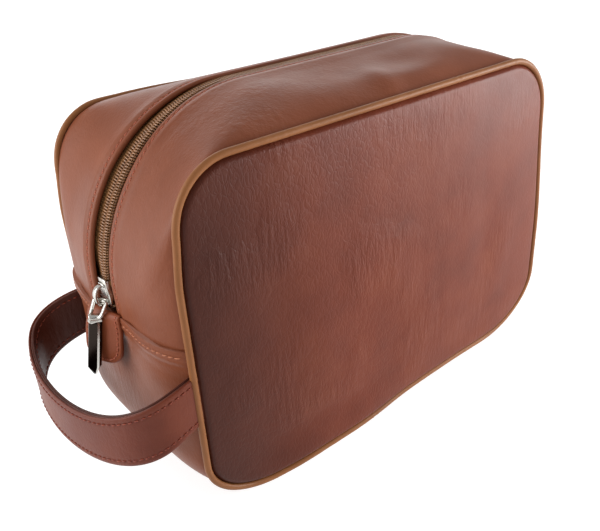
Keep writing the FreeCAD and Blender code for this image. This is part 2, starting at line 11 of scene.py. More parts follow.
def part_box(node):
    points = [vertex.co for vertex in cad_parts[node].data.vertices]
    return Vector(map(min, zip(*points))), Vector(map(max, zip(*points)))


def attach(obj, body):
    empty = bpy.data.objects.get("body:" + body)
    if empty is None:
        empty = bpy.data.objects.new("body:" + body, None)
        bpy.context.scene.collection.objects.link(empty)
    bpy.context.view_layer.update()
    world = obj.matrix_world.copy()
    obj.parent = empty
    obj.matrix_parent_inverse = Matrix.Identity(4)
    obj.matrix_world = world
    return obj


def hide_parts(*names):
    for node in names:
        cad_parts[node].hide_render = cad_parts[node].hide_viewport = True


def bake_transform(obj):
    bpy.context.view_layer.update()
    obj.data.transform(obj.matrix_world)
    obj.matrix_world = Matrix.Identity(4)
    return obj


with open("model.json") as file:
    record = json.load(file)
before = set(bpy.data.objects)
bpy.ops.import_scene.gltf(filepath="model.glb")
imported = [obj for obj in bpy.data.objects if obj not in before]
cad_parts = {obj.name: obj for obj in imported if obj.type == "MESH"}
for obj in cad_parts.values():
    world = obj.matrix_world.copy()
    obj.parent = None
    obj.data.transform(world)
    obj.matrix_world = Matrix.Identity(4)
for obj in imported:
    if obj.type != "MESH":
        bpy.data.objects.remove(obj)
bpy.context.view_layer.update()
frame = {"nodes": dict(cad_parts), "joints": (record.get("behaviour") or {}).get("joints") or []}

MM = 0.001


def low(node):
    return np.array(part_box(node)[0]) / MM


def high(node):
    return np.array(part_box(node)[1]) / MM


def extent(node, axis):
    return high(node)[axis] - low(node)[axis]


def joint_place(name):
    joint = [j for j in frame["joints"] if j["name"] == name][0]
    return np.array(joint["pos_m"]) / MM


# ---- places and sizes read from the frame ----
PIPING_R = extent("front_piping_cover", 1) / 2
SEAM_Y = -low("front_piping_cover")[1] - PIPING_R
SEAM_HALF = high("front_piping_cover")[0] - PIPING_R
SEAM_TOP = high("front_piping_cover")[2] - PIPING_R
CROWN_HALF = high("base_gusset")[0]
END_SEAM_Z = high("base_gusset")[2]
TRACK_C = joint_place("zip_travel")
TRACK_R = TRACK_C[0] - low("front_zip_coil")[0]
TRACK_HALF_FLAT = -TRACK_C[0]
COIL_TOP = TRACK_C[2] + TRACK_R
CROWN_LIFT = CROWN_HALF + TRACK_C[0] - TRACK_R
CROWN_TOP = COIL_TOP + CROWN_LIFT
PULL_PIVOT = joint_place("pull_swing")
TAPE_TOP = high("front_zip_tape")[2] - COIL_TOP
TAPE_HALF = -low("front_zip_tape")[1]
STRAP_WIDTH = extent("front_strap_root", 2)
SLIDER_TOP_Z = high("zip_slider")[2]

# ---- shapes that only the looks have ----
GUSSET_Y = SEAM_Y - 0.6          # where the gusset leather meets the piping
LEATHER = 1.6
ZIP_EDGE = -high("front_zip_gusset")[1]  # folded leather edge to the middle of the zip
CORNER_TOP_LEFT = (27.0, 27.0)   # the seam's corners, across and up
CORNER_TOP_RIGHT = (31.0, 31.0)
CORNER_LOW_RIGHT = (45.0, 34.0)
CORNER_LOW_LEFT = (36.0, 28.0)
BACK_CORNER_TOP_RIGHT = (38.0, 38.0)
BACK_TOP_DROP = 2.2              # the back seam hangs a little lower towards the plain end
LOW_LIFT = 2.4                   # the front seam's rise off the floor at the plain end
LOW_SWELL = 3.0                  # and its swell forwards at the strap end
CROWN_CORNER_LOW = (40.0, 40.0)
PANEL_CROWN = 2.6
ZIP_TILT = 0.22                  # at the strap end the zip's far side stands prouder
ZIP_TILT_REACH = 18.0
ZIP_STITCH_Y = ZIP_EDGE + 3.0
END_FOLD_RISE = 1.2              # the base strip's folded edge stands above its seam
END_STITCH_BELOW = 3.4           # and is stitched this far below the fold


# ---- small mesh kit ----

def new_piece(name, points, faces, material, smooth=True):
    mesh = bpy.data.meshes.new(name)
    mesh.from_pydata((np.asarray(points, float) * MM).tolist(), [], faces)
    mesh.validate()
    mesh.update()
    if smooth:
        mesh.polygons.foreach_set("use_smooth", [True] * len(mesh.polygons))
    mesh.materials.append(material)
    return placed(name, mesh)


def placed(name, data):
    obj = bpy.data.objects.new(name, data)
    bpy.context.scene.collection.objects.link(obj)
    return obj


def ring_faces(count, size, closed=False, flip=False):
    """Faces of a tube of `count` rings of `size` points each, capped unless it is closed."""
    faces = []
    for i in range(count if closed else count - 1):
        a = i * size
        b = ((i + 1) % count) * size
        for j in range(size):
            k = (j + 1) % size
            faces.append([a + j, a + k, b + k, b + j])
    if not closed:
        faces.append(list(range(size))[::-1])
        faces.append(list(range((count - 1) * size, count * size)))
    return [face[::-1] for face in faces] if flip else faces


def sheet(name, grid, material, flip=True):
    """A closed skin from a grid of points, one ring per station."""
    count, size = grid.shape[:2]
    return new_piece(name, grid.reshape(-1, 3), ring_faces(count, size, flip=flip), material)


class Parts:
    """Collects the points and faces of many small lumps for one mesh."""

    def __init__(self):
        self.points = []
        self.faces = []

    def add(self, points, faces):
        first = len(self.points)
        self.points.extend([tuple(p) for p in points])
        self.faces.extend([[first + i for i in face] for face in faces])

    def make(self, name, material, smooth=True):
        return new_piece(name, self.points, self.faces, material, smooth)


def unit(vectors):
    return vectors / np.linalg.norm(vectors, axis=-1)[..., None]


def frames_along(path, up):
    """Side and normal at each point of a path; up is one vector or one per point."""
    tangent = unit(np.gradient(path, axis=0))
    side = unit(np.cross(tangent, np.broadcast_to(np.asarray(up, float), path.shape)))
    return side, np.cross(side, tangent)


def carried(path, section, first, second, scales=1.0):
    """Rings of a section of (first, second) pairs, carried along a path."""
    section = np.asarray(section, float)
    a, b = section[:, :1], section[:, 1:]
    scales = np.broadcast_to(scales, len(path))
    return np.concatenate([p + k * (a * u + b * v) for p, k, u, v in zip(path, scales, first, second)])


def swept(path, up, section, scales=1.0):
    return carried(path, section, *frames_along(path, up), scales)


def run_along(line):
    """Distance from the start at each point of a line."""
    return np.concatenate([[0], np.cumsum(np.linalg.norm(np.diff(line, axis=0), axis=1))])


def resampled(path, step, closed=False):
    """The path again, with points evenly spaced about step apart."""
    line = np.vstack([path, path[:1]]) if closed else path
    run = run_along(line)
    count = max(2, int(round(run[-1] / step)))
    at = np.linspace(0, run[-1], count + 1)
    if closed:
        at = at[:-1]
    return np.stack([np.interp(at, run, line[:, i]) for i in range(3)], 1)


def circle(radius, sides):
    turn = np.linspace(0, 2 * math.pi, sides, endpoint=False)
    return np.stack([radius * np.cos(turn), radius * np.sin(turn)], 1)


def rounded_rect(width, height, radius):
    """Closed section round the origin, anticlockwise, with four points to a corner."""
    points = []
    for cx, cy, start in ((1, 1, 0), (-1, 1, 90), (-1, -1, 180), (1, -1, 270)):
        for step in range(4):
            turn = math.radians(start + 30 * step)
            points.append((
                cx * (width / 2 - radius) + radius * math.cos(turn),
                cy * (height / 2 - radius) + radius * math.sin(turn),
            ))
    return np.array(points)


def rectangle(start, end, half):
    """Outline of (along, y) pairs for a plate on the zip."""
    return [(start, half), (end, half), (end, -half), (start, -half)]


def smooth_path(points, count):
    """A rounded line near the given points: a Bezier curve with them as control points."""
    points = np.array(points, float)
    degree = len(points) - 1
    t = np.linspace(0, 1, count)[:, None]
    total = np.zeros((count, points.shape[1]))
    for i, p in enumerate(points):
        total = total + math.comb(degree, i) * t ** i * (1 - t) ** (degree - i) * p
    return total


def smooth_step(x, start, end):
    t = np.clip((x - start) / (end - start), 0, 1)
    return t * t * (3 - 2 * t)


def bump_at(x, centre, width):
    return np.exp(-((x - centre) / width) ** 2)


def wave(points, size, seed):
    """Smooth noise at each point, about -1 to 1, with features of the given size."""
    return np.array([
        noise.noise(Vector((p[0] / size + seed, p[1] / size, p[2] / size))) for p in points
    ])


def zip_tilt(x, z):
    """Slope across the zip, at its full value beside the slider and gone on top."""
    at_end = smooth_step(x, -60.0, -90.0)
    return ZIP_TILT * at_end * smooth_step(z, 40.0, 80.0) * smooth_step(z, 182.0, 150.0)


# ---- outlines ----

def arc_points(cx, cz, radii, start, end, count):
    turn = np.radians(np.linspace(start, end, count))
    place = np.stack([cx + radii[0] * np.cos(turn), cz + radii[1] * np.sin(turn)], 1)
    return place, np.stack([np.cos(turn), np.sin(turn)], 1)


def side_points(start, end, normal, count):
    t = np.linspace(0, 1, count)[:, None]
    place = np.array(start) + t * (np.array(end) - np.array(start))
    return place, np.broadcast_to(np.array(normal, float), place.shape)


def joined(parts):
    """Join stretches of outline, dropping each repeated end point."""
    places = [parts[0][0]] + [p[0][1:] for p in parts[1:]]
    normals = [parts[0][1]] + [p[1][1:] for p in parts[1:]]
    return np.concatenate(places), np.concatenate(normals)


def half_outline(half, level, left_r, right_r, counts, up):
    """From the left end seam to the right one, over the top (up = 1) or under the bottom (-1)."""
    side, corner, flat = counts
    left_x, left_z = -half + left_r[0], level - up * left_r[1]
    right_x, right_z = half - right_r[0], level - up * right_r[1]
    middle = 180 - 90 * up
    first, last = (180, 0) if up > 0 else (180, 360)
    return joined([
        side_points((-half, END_SEAM_Z), (-half, left_z), (-1, 0), side),
        arc_points(left_x, left_z, left_r, first, middle, corner),
        side_points((left_x, level), (right_x, level), (0, up), flat),
        arc_points(right_x, right_z, right_r, middle, last, corner),
        side_points((half, right_z), (half, END_SEAM_Z), (1, 0), side),
    ])


UPPER_COUNTS = (24, 56, 90)
LOWER_COUNTS = (40, 40, 90)


def swollen(outline, back):
    """The seam as it hangs: sides drawn in at the top, bottom lifted at the plain end."""
    place, normal = outline[0].copy(), outline[1]
    x, z = outline[0][:, 0], outline[0][:, 1]
    pulled_left = 1.2 - 2.4 * smooth_step(z, 150.0, 118.0)
    pulled_right = 3.4 - 6.1 * smooth_step(z, 145.0, 62.0)
    inwards = np.where(x < 0, pulled_left, pulled_right)
    place[:, 0] = x * (1 - inwards / SEAM_HALF)
    if back:
        place[:, 1] = z - BACK_TOP_DROP * smooth_step(x, -75.0, -10.0) * smooth_step(z, 130.0, 165.0)
    else:
        place[:, 1] = z + LOW_LIFT * smooth_step(x, -25.0, 55.0) * smooth_step(z, 55.0, 5.0)
    return place, normal


def seam_upper(back, counts=UPPER_COUNTS):
    right = BACK_CORNER_TOP_RIGHT if back else CORNER_TOP_RIGHT
    return swollen(half_outline(SEAM_HALF, SEAM_TOP, CORNER_TOP_LEFT, right, counts, 1), back)


def seam_lower(back, counts=LOWER_COUNTS):
    corners = (CORNER_LOW_LEFT, CORNER_LOW_RIGHT)
    return swollen(half_outline(SEAM_HALF, PIPING_R, *corners, counts, -1), back)


def upper_seams():
    return seam_upper(False), seam_upper(True)


def lower_seams(counts=LOWER_COUNTS):
    return seam_lower(False, counts), seam_lower(True, counts)


def crown_upper():
    r = (TRACK_R + CROWN_LIFT, TRACK_R + CROWN_LIFT)
    return half_outline(CROWN_HALF, CROWN_TOP, r, r, UPPER_COUNTS, 1)


def crown_lower(counts=LOWER_COUNTS):
    return half_outline(CROWN_HALF, 0.0, CROWN_CORNER_LOW, CROWN_CORNER_LOW, counts, -1)


def seam_loop(back):
    """The whole seam line, closed, anticlockwise seen from behind."""
    up, up_n = seam_upper(back, (20, 24, 110))
    down, down_n = seam_lower(back, (26, 24, 110))
    place = np.concatenate([up, down[::-1][1:-1]])
    normal = np.concatenate([up_n, down_n[::-1][1:-1]])
    return place, normal


def seam_swell(place, side):
    """How far the front seam swells forwards of its plane, low down at the strap end."""
    x, z = place[:, 0], place[:, 1]
    if side > 0:
        return np.zeros(len(x))
    along = smooth_step(x, 15.0, -35.0) * smooth_step(x, -108.0, -62.0)
    return LOW_SWELL * along * smooth_step(z, 26.0, 2.0)


# ---- materials ----

class Graph:
    """Adds shader nodes; each input is given a plain value or another node's output."""

    def __init__(self, tree):
        self.tree = tree

    def add(self, kind, inputs=None, output=0, **settings):
        node = self.tree.nodes.new("ShaderNode" + kind)
        for name, value in settings.items():
            setattr(node, name, value)
        self.feed(node, inputs or {})
        return node.outputs[output]

    def feed(self, node, inputs):
        for name, value in inputs.items():
            if isinstance(value, bpy.types.NodeSocket):
                self.tree.links.new(value, node.inputs[name])
            else:
                node.inputs[name].default_value = value

    def noise(self, place, scale, detail=3.0, rough=0.5, output="Fac"):
        inputs = {"Vector": place, "Scale": scale, "Detail": detail, "Roughness": rough}
        return self.add("TexNoise", inputs, output)

    def stretched(self, place, scale):
        return self.add("Mapping", {"Vector": place, "Scale": scale})

    def maths(self, operation, a, b):
        return self.add("Math", {0: a, 1: b}, operation=operation)

    def scale_colour(self, colour, factor):
        return self.add("VectorMath", {0: colour, "Scale": factor}, operation="SCALE")

    def spread(self, value, to_min, to_max):
        return self.add("MapRange", {"Value": value, "To Min": to_min, "To Max": to_max})

    def fade(self, value, start, end, first, last):
        """A smooth change from first to last as value goes from start to end."""
        inputs = {"Value": value, "From Min": start, "From Max": end, "To Min": first, "To Max": last}
        return self.add("MapRange", inputs, interpolation_type="SMOOTHSTEP")

    def fade_along_bag(self, place, start, end, first, last):
        x = self.add("SeparateXYZ", {0: place}, "X")
        return self.fade(x, start, end, first, last)

    def ramp(self, source, *stops):
        node = self.tree.nodes.new("ShaderNodeValToRGB")
        for element, (position, colour) in zip(node.color_ramp.elements, stops):
            element.position = position
            element.color = (*colour, 1.0)
        for position, colour in stops[2:]:
            node.color_ramp.elements.new(position).color = (*colour, 1.0)
        self.feed(node, {"Fac": source})
        return node.outputs["Color"]

    def bump(self, height, strength, distance, under=None):
        inputs = {"Height": height, "Strength": strength, "Distance": distance}
        if under is not None:
            inputs["Normal"] = under
        return self.add("Bump", inputs)

    def warped(self, place):
        """The place, pushed about a little so that a regular pattern turns irregular."""
        push = self.scale_colour(self.noise(place, 260.0, 2.0, 0.5, "Color"), 0.004)
        return self.add("VectorMath", {0: place, 1: push}, operation="ADD")


def new_material(name):
    """A material's graph, its shader node and the piece's own coordinates in it."""
    material = bpy.data.materials.new(name)
    material.use_nodes = True
    tree = material.node_tree
    tree.nodes.clear()
    graph = Graph(tree)
    shader = tree.nodes.new("ShaderNodeBsdfPrincipled")
    out = tree.nodes.new("ShaderNodeOutputMaterial")
    graph.feed(out, {"Surface": shader.outputs["BSDF"]})
    return material, graph, shader, graph.add("TexCoord", output="Object")


def leather(name, dark, mid, light, wrinkles, painted_shade=0.0):
    """Smooth dyed leather: mottled dye, a fine broken grain, and patches of drawn wrinkles.
    The last argument paints shade into the colour, darker towards the strap end."""
    material, graph, shader, place = new_material(name)
    cloud = graph.noise(place, 24.0, 5.0, 0.60)
    colour = graph.ramp(cloud, (0.30, dark), (0.52, mid), (0.75, light))
    # painted shade: the colour darkens towards the strap end
    if painted_shade:
        colour = graph.scale_colour(colour, graph.fade_along_bag(place, -0.125, -0.02, 1.0 - painted_shade, 1.0))
    worn_smooth = graph.fade_along_bag(place, -0.04, 0.06, 1.0, 0.3)
    drawn = graph.noise(graph.stretched(place, (330.0, 330.0, 70.0)), 1.0, 4.0, 0.60)
    patch = graph.ramp(graph.noise(place, 21.0, 2.0), (0.50, BLACK), (0.64, WHITE))
    drawn = graph.maths("MULTIPLY", drawn, patch)
    grain_way = graph.stretched(place, (1.0, 1.0, 0.55))
    grain = graph.noise(grain_way, 620.0, 5.0, 0.62)
    cell_inputs = {"Vector": graph.warped(grain_way), "Scale": 430.0}
    cells = graph.add("TexVoronoi", cell_inputs, "Distance", feature="DISTANCE_TO_EDGE")
    crackle = graph.ramp(cells, (0.0, BLACK), (0.16, WHITE))
    normal = None
    for height, strength, distance in ((drawn, 1.0, 0.0017), (grain, 0.40, 0.0006), (crackle, 0.30, 0.0004)):
        height = graph.maths("MULTIPLY", height, worn_smooth)
        normal = graph.bump(height, strength * wrinkles, distance, normal)
    graph.feed(shader, {
        "Base Color": colour,
        "Normal": normal,
        "Roughness": graph.spread(graph.noise(place, 60.0, 3.0, 0.6), 0.34, 0.52),
        "Specular IOR Level": 0.14,
        "Coat Weight": 0.07,
        "Coat Roughness": 0.30,
    })
    return material


def cloth(name, dark, light, threads):
    """Plain weave from two crossed wave patterns."""
    material, graph, shader, place = new_material(name)
    inputs = {"Vector": place, "Scale": threads / 6.3, "Distortion": 0.6}
    heights = [graph.add("TexWave", inputs, "Fac", bands_direction=way) for way in ("X", "Z")]
    weave = graph.maths("MULTIPLY", *heights)
    graph.feed(shader, {
        "Base Color": graph.ramp(weave, (0.0, dark), (0.6, light)),
        "Normal": graph.bump(weave, 0.5, 0.0003),
        "Roughness": 0.85,
        "Specular IOR Level": 0.15,
    })
    return material


def metal(name, colour, roughness):
    """Plated metal with faint polishing marks."""
    material, graph, shader, place = new_material(name)
    marks = graph.noise(graph.stretched(place, (900.0, 900.0, 120.0)), 1.0, 3.0, 0.6)
    graph.feed(shader, {
        "Base Color": (*colour, 1.0),
        "Metallic": 1.0,
        "Roughness": graph.spread(marks, roughness * 0.7, roughness * 1.5),
        "Normal": graph.bump(marks, 0.06, 0.0001),
    })
    return material


def plastic(name, dark, light, roughness):
    material, graph, shader, place = new_material(name)
    colour = graph.ramp(graph.noise(place, 260.0, 2.0), (0.35, dark), (0.65, light))
    graph.feed(shader, {"Base Color": colour, "Roughness": roughness})
    return material


def twisted_thread(name, dark, light):
    """Waxed sewing thread, its plies showing as fine diagonal bands."""
    material, graph, shader, place = new_material(name)
    inputs = {"Vector": place, "Scale": 420.0}
    plies = graph.add("TexWave", inputs, "Fac", bands_direction="DIAGONAL")
    graph.feed(shader, {
        "Base Color": graph.ramp(plies, (0.1, dark), (0.8, light)),
        "Normal": graph.bump(plies, 0.4, 0.0002),
        "Roughness": 0.55,
        "Specular IOR Level": 0.2,
    })
    return material


BLACK = (0.0, 0.0, 0.0)
WHITE = (1.0, 1.0, 1.0)
# the panel's last value is painted shade, darkening it towards the strap end
PANEL_LEATHER = leather(
    "panel_leather", (0.108, 0.019, 0.007), (0.138, 0.026, 0.010), (0.165, 0.036, 0.014), 0.70, 0.62
)
GUSSET_LEATHER = leather(
    "gusset_leather", (0.150, 0.039, 0.015), (0.180, 0.050, 0.021), (0.215, 0.064, 0.029), 0.40
)
STRAP_LEATHER = leather(
    "strap_leather", (0.105, 0.020, 0.009), (0.128, 0.027, 0.012), (0.150, 0.036, 0.017), 0.40
)
# darker copy of the strap leather for the strap's inner face: painted shade
STRAP_BACK_SHADED_LEATHER = leather(
    "strap_back_leather_painted_shade", (0.050, 0.012, 0.007), (0.066, 0.017, 0.010), (0.084, 0.023, 0.013), 0.40
)
PIPING_LEATHER = leather(
    "piping_leather", (0.190, 0.070, 0.022), (0.230, 0.088, 0.030), (0.270, 0.108, 0.040), 0.20
)
EDGE_PAINT = plastic("edge_paint", (0.100, 0.024, 0.012), (0.140, 0.036, 0.018), 0.45)
TAB_LEATHER = leather(
    "tab_leather", (0.170, 0.038, 0.014), (0.200, 0.048, 0.018), (0.232, 0.062, 0.025), 0.20
)
TAPE_CLOTH = cloth("zip_tape_cloth", (0.130, 0.055, 0.018), (0.270, 0.125, 0.045), 2400.0)
LINING_CLOTH = cloth("lining_cloth", (0.085, 0.052, 0.030), (0.150, 0.095, 0.055), 1500.0)
BINDING_CLOTH = cloth("binding_cloth", (0.060, 0.032, 0.018), (0.110, 0.062, 0.036), 1200.0)
CORD_CLOTH = cloth("cord_cotton", (0.450, 0.410, 0.330), (0.700, 0.660, 0.560), 1800.0)
COIL_PLASTIC = plastic("zip_coil_plastic", (0.180, 0.074, 0.026), (0.275, 0.120, 0.044), 0.34)
BOARD = plastic("fibre_board", (0.200, 0.150, 0.095), (0.270, 0.205, 0.130), 0.9)
NICKEL = metal("nickel_plate", (0.60, 0.58, 0.54), 0.18)
DARK_NICKEL = metal("nickel_plate_dark", (0.032, 0.024, 0.020), 0.14)
THREAD = twisted_thread("sewing_thread", (0.240, 0.075, 0.036), (0.420, 0.160, 0.085))
RED_THREAD = twisted_thread("red_sewing_thread", (0.230, 0.052, 0.026), (0.400, 0.110, 0.058))
DARK_THREAD = twisted_thread("dark_sewing_thread", (0.110, 0.018, 0.010), (0.230, 0.050, 0.026))


# ---- gussets ----

def fullness(crown_normal, back):
    """Power of the curve across the gusset: boxy at the ends, falling away behind the zip."""
    top = 1.3 if back else 3.2
    up = np.clip(crown_normal[:, 1], 0, 1) ** 3
    return 4.5 + (top - 4.5) * up


def top_fold(x, z, y):
    """A soft fold that runs from the front seam towards the zip, and the hollow beside it."""
    fold = 1.5 * bump_at(x, 4.0 + 0.15 * (y + 45.0), 7.0) * bump_at(y, -44.0, 11.0)
    hollow = -1.9 * bump_at(x, 27.0, 16.0) * bump_at(y, -34.0, 12.0)
    return (fold + hollow) * smooth_step(z, 150.0, 165.0)


def across(seam, crown, y):
    """Place and outward direction of the gusset surface at y, for every station."""
    fall = ((abs(y) / GUSSET_Y) ** fullness(crown[1], y > 0))[:, None]
    place = seam[0] + (crown[0] - seam[0]) * (1 - fall)
    out = unit(seam[1] * fall + crown[1] * (1 - fall))
    tilt = zip_tilt(place[:, 0], place[:, 1]) * y * math.exp(-(y / ZIP_TILT_REACH) ** 2)
    lift = tilt + top_fold(place[:, 0], place[:, 1], y)
    return place + out * lift[:, None], out


def surface_grid(seams, crown, profile, lift=0.0):
    """Rings of a closed (y, depth) profile carried along the stations, and their outward
    directions. seams holds the front and the back seam; lift raises the points."""
    shape = (len(crown[0]), len(profile))
    points = np.zeros((*shape, 3))
    outs = np.zeros((*shape, 3))
    lift = np.broadcast_to(lift, shape)
    for j, (y, depth) in enumerate(profile):
        place, out = across(seams[1] if y > 0 else seams[0], crown, y)
        place = place + out * (lift[:, j] - depth)[:, None]
        points[:, j, ::2] = place
        points[:, j, 1] = y - seam_swell(place, y) * (abs(y) / GUSSET_Y) ** 4
        outs[:, j, ::2] = out
    return points, outs


def seam_dip(distance):
    """How far leather sinks towards its seam beside the piping."""
    return 1.5 * np.exp(-np.clip(distance, 0, None) / 1.3)


def zip_side_relief(y):
    """Height of the leather near the zip: folded double, stitched, and a step where it ends."""
    y = abs(y)
    doubled = 0.30 * (1 - smooth_step(y, 13.0, 18.5))
    ridge = 0.25 * bump_at(y, 12.0, 1.5)
    groove = -0.42 * bump_at(y, ZIP_STITCH_Y, 0.45)
    return doubled + ridge + groove


def zip_gusset_profile():
    """Closed section of the front zip strip, from the piping to the folded edge and back."""
    fold_start = -ZIP_EDGE - 1.2
    fold_r = 1.25
    ys = np.concatenate([
        np.linspace(-GUSSET_Y, -GUSSET_Y + 4, 9),
        np.linspace(-GUSSET_Y + 6, -18.5, 12),
        np.linspace(-17.5, fold_start, 30),
    ])
    profile = [(y, seam_dip(y + GUSSET_Y) - zip_side_relief(y)) for y in ys]
    top = -zip_side_relief(fold_start)
    for turn in np.radians((60, 30, 0, -30, -60, -90)):
        y = -ZIP_EDGE - fold_r + fold_r * math.cos(turn)
        profile.append((y, top + fold_r - fold_r * math.sin(turn)))
    profile += [(y, top + 2 * fold_r) for y in (-9.0, -11.0, -13.2)]
    profile += [(y, LEATHER) for y in (-14.4, -20.0, -30.0, -40.0, -48.0)]
    profile.append((-GUSSET_Y, LEATHER + 2.0))
    return profile


DENTS = (
    # place on the bag, reach along x, y and z, depth
    ((-5.0, -28.0, 181.0), (26.0, 11.0, 12.0), 1.5),
    ((22.0, -44.0, 175.0), (16.0, 8.0, 12.0), -0.9),
    ((-75.0, -34.0, 170.0), (18.0, 16.0, 24.0), 0.9),
    ((70.0, -30.0, 180.0), (24.0, 16.0, 20.0), 0.8),
    ((-124.0, -30.0, 118.0), (16.0, 12.0, 22.0), 0.8),
    ((-124.0, 30.0, 124.0), (16.0, 12.0, 26.0), 0.9),
    ((-122.0, -32.0, 48.0), (20.0, 14.0, 20.0), 1.0),
    ((30.0, 30.0, 181.0), (40.0, 13.0, 14.0), 1.1),
    ((120.0, 20.0, 130.0), (18.0, 18.0, 22.0), 1.0),
    ((122.0, -24.0, 60.0), (18.0, 20.0, 26.0), 1.1),
)


def softened(points, outs, fade):
    """Push leather in and out a little along outs, as it lies over what is inside."""
    flat = points.reshape(-1, 3)
    move = 0.55 * wave(flat, 48.0, 3.1) + 0.22 * wave(flat, 17.0, 8.7)
    for place, reach, depth in DENTS:
        near = (((flat - np.array(place)) / np.array(reach)) ** 2).sum(1)
        move = move - depth * np.exp(-near)
    weight = smooth_step(GUSSET_Y - np.abs(flat[:, 1]), 1.0, 9.0) * fade.reshape(-1)
    return (flat + (move * weight)[:, None] * outs.reshape(-1, 3)).reshape(points.shape)


def zip_gusset(side, name):
    profile = [(-side * y, depth) for y, depth in zip_gusset_profile()]
    points, outs = surface_grid(upper_seams(), crown_upper(), profile)
    beside_zip = smooth_step(np.abs(points[:, :, 1]), ZIP_EDGE + 2.0, ZIP_EDGE + 14.0)
    return sheet(name, softened(points, outs, beside_zip), GUSSET_LEATHER, flip=side > 0)


def end_seam_lift(along):
    """Height of the base strip's folded top edge, by distance below its end."""
    fold = 1.5 * (1 - np.exp(-np.clip(along, 0, None) / 0.5))
    settle = 1 - 0.62 * smooth_step(along, 4.5, 8.0) - 0.38 * smooth_step(along, 8.0, 14.0)
    groove = 0.35 * bump_at(along, END_STITCH_BELOW, 0.6)
    return fold * settle - groove


def crowd_ends(outline, side):
    """Draw the stations of both upright sides together towards the end seams."""
    squeeze = np.linspace(0, 1, side) ** 1.6
    for place in (outline[0][:side], outline[0][-side:][::-1]):
        start, end = place[0].copy(), place[-1].copy()
        z_new = start[1] + (end[1] - start[1]) * squeeze
        place[:, 0] = np.interp(-z_new, -place[:, 1], place[:, 0])
        place[:, 1] = z_new


def base_gusset():
    """The strip that runs down one end, under the bag and up the other end."""
    counts = (70, 40, 90)
    seams = lower_seams(counts)
    crown = crown_lower(counts)
    for outline in (*seams, crown):
        crowd_ends(outline, counts[0])
    outer_ys = np.concatenate([
        np.linspace(-GUSSET_Y, -GUSSET_Y + 4, 9),
        np.linspace(-GUSSET_Y + 6, GUSSET_Y - 6, 44),
        np.linspace(GUSSET_Y - 4, GUSSET_Y, 9),
    ])
    profile = [(y, seam_dip(GUSSET_Y - abs(y))) for y in outer_ys]
    profile += [(y, LEATHER) for y in np.linspace(GUSSET_Y - 3, -GUSSET_Y + 3, 14)]
    lift = np.zeros((len(crown[0]), len(profile)))
    below = END_SEAM_Z + END_FOLD_RISE - crown[0][:, 1]
    lift[:, :len(outer_ys)] = end_seam_lift(below)[:, None]
    points, outs = surface_grid(seams, crown, profile, lift)
    for station, rise in enumerate((END_FOLD_RISE, 0.9, 0.4)):
        points[[station, -1 - station], :, 2] += rise
    z = points[:, :, 2]
    fade = smooth_step(z, 6.0, 30.0) * (1 - smooth_step(z, 76.0, 90.0))
    points = softened(points, outs, fade)
    points[:, :, 2] = np.maximum(points[:, :, 2], 0.0)
    return sheet("base_gusset_leather", points, GUSSET_LEATHER)


def lining_strip(seams, crown, y_from, y_to, name):
    """Thin fabric that follows the leather a few millimetres inside it."""
    ys = np.linspace(y_from, y_to, 26)
    depth = CROWN_HALF - high("front_zip_gusset_lining")[0]
    profile = [(y, depth) for y in ys] + [(y, depth + 0.4) for y in ys[::-1]]
    points, _ = surface_grid(seams, crown, profile)
    return sheet(name, points, LINING_CLOTH)


def linings():
    """Each lining strip, with the CAD node that it stands for."""
    edge = high("base_lining")[1]
    gap = TAPE_HALF + 0.5
    upper = (upper_seams(), crown_upper())
    lower = (lower_seams(), crown_lower())
    return (
        (lining_strip(*upper, -edge, -gap, "front_zip_lining"), "front_zip_gusset_lining"),
        (lining_strip(*upper, gap, edge, "back_zip_lining"), "back_zip_gusset_lining"),
        (lining_strip(*lower, -edge, edge, "base_lining_cloth"), "base_lining"),
    )


# ---- panels and piping ----

PANEL_DENTS = (
    # place on the front panel, reach along x and z, depth
    ((72.0, 78.0), (16.0, 30.0), 0.9),
    ((84.0, 60.0), (10.0, 22.0), -0.6),
    ((-78.0, 100.0), (14.0, 50.0), 0.7),
    ((-52.0, 60.0), (12.0, 40.0), -0.5),
    ((10.0, 120.0), (40.0, 26.0), 0.5),
)
PANEL_SPOT_Y = 60.0   # where the panels' noise is read


def panel_relief(ring, side):
    """The panel's soft unevenness at each point of a ring."""
    spot = np.stack([ring[:, 0], np.full(len(ring), side * PANEL_SPOT_Y), ring[:, 1]], 1)
    soft = 0.35 * wave(spot, 40.0, 5.5) + 0.10 * wave(spot * (1.0, 1.0, 0.3), 11.0, 1.7)
    for (x, z), (reach_x, reach_z), depth in PANEL_DENTS:
        near = -((ring[:, 0] + side * x) / reach_x) ** 2 - ((ring[:, 1] - z) / reach_z) ** 2
        soft = soft - depth * np.exp(near)
    return soft


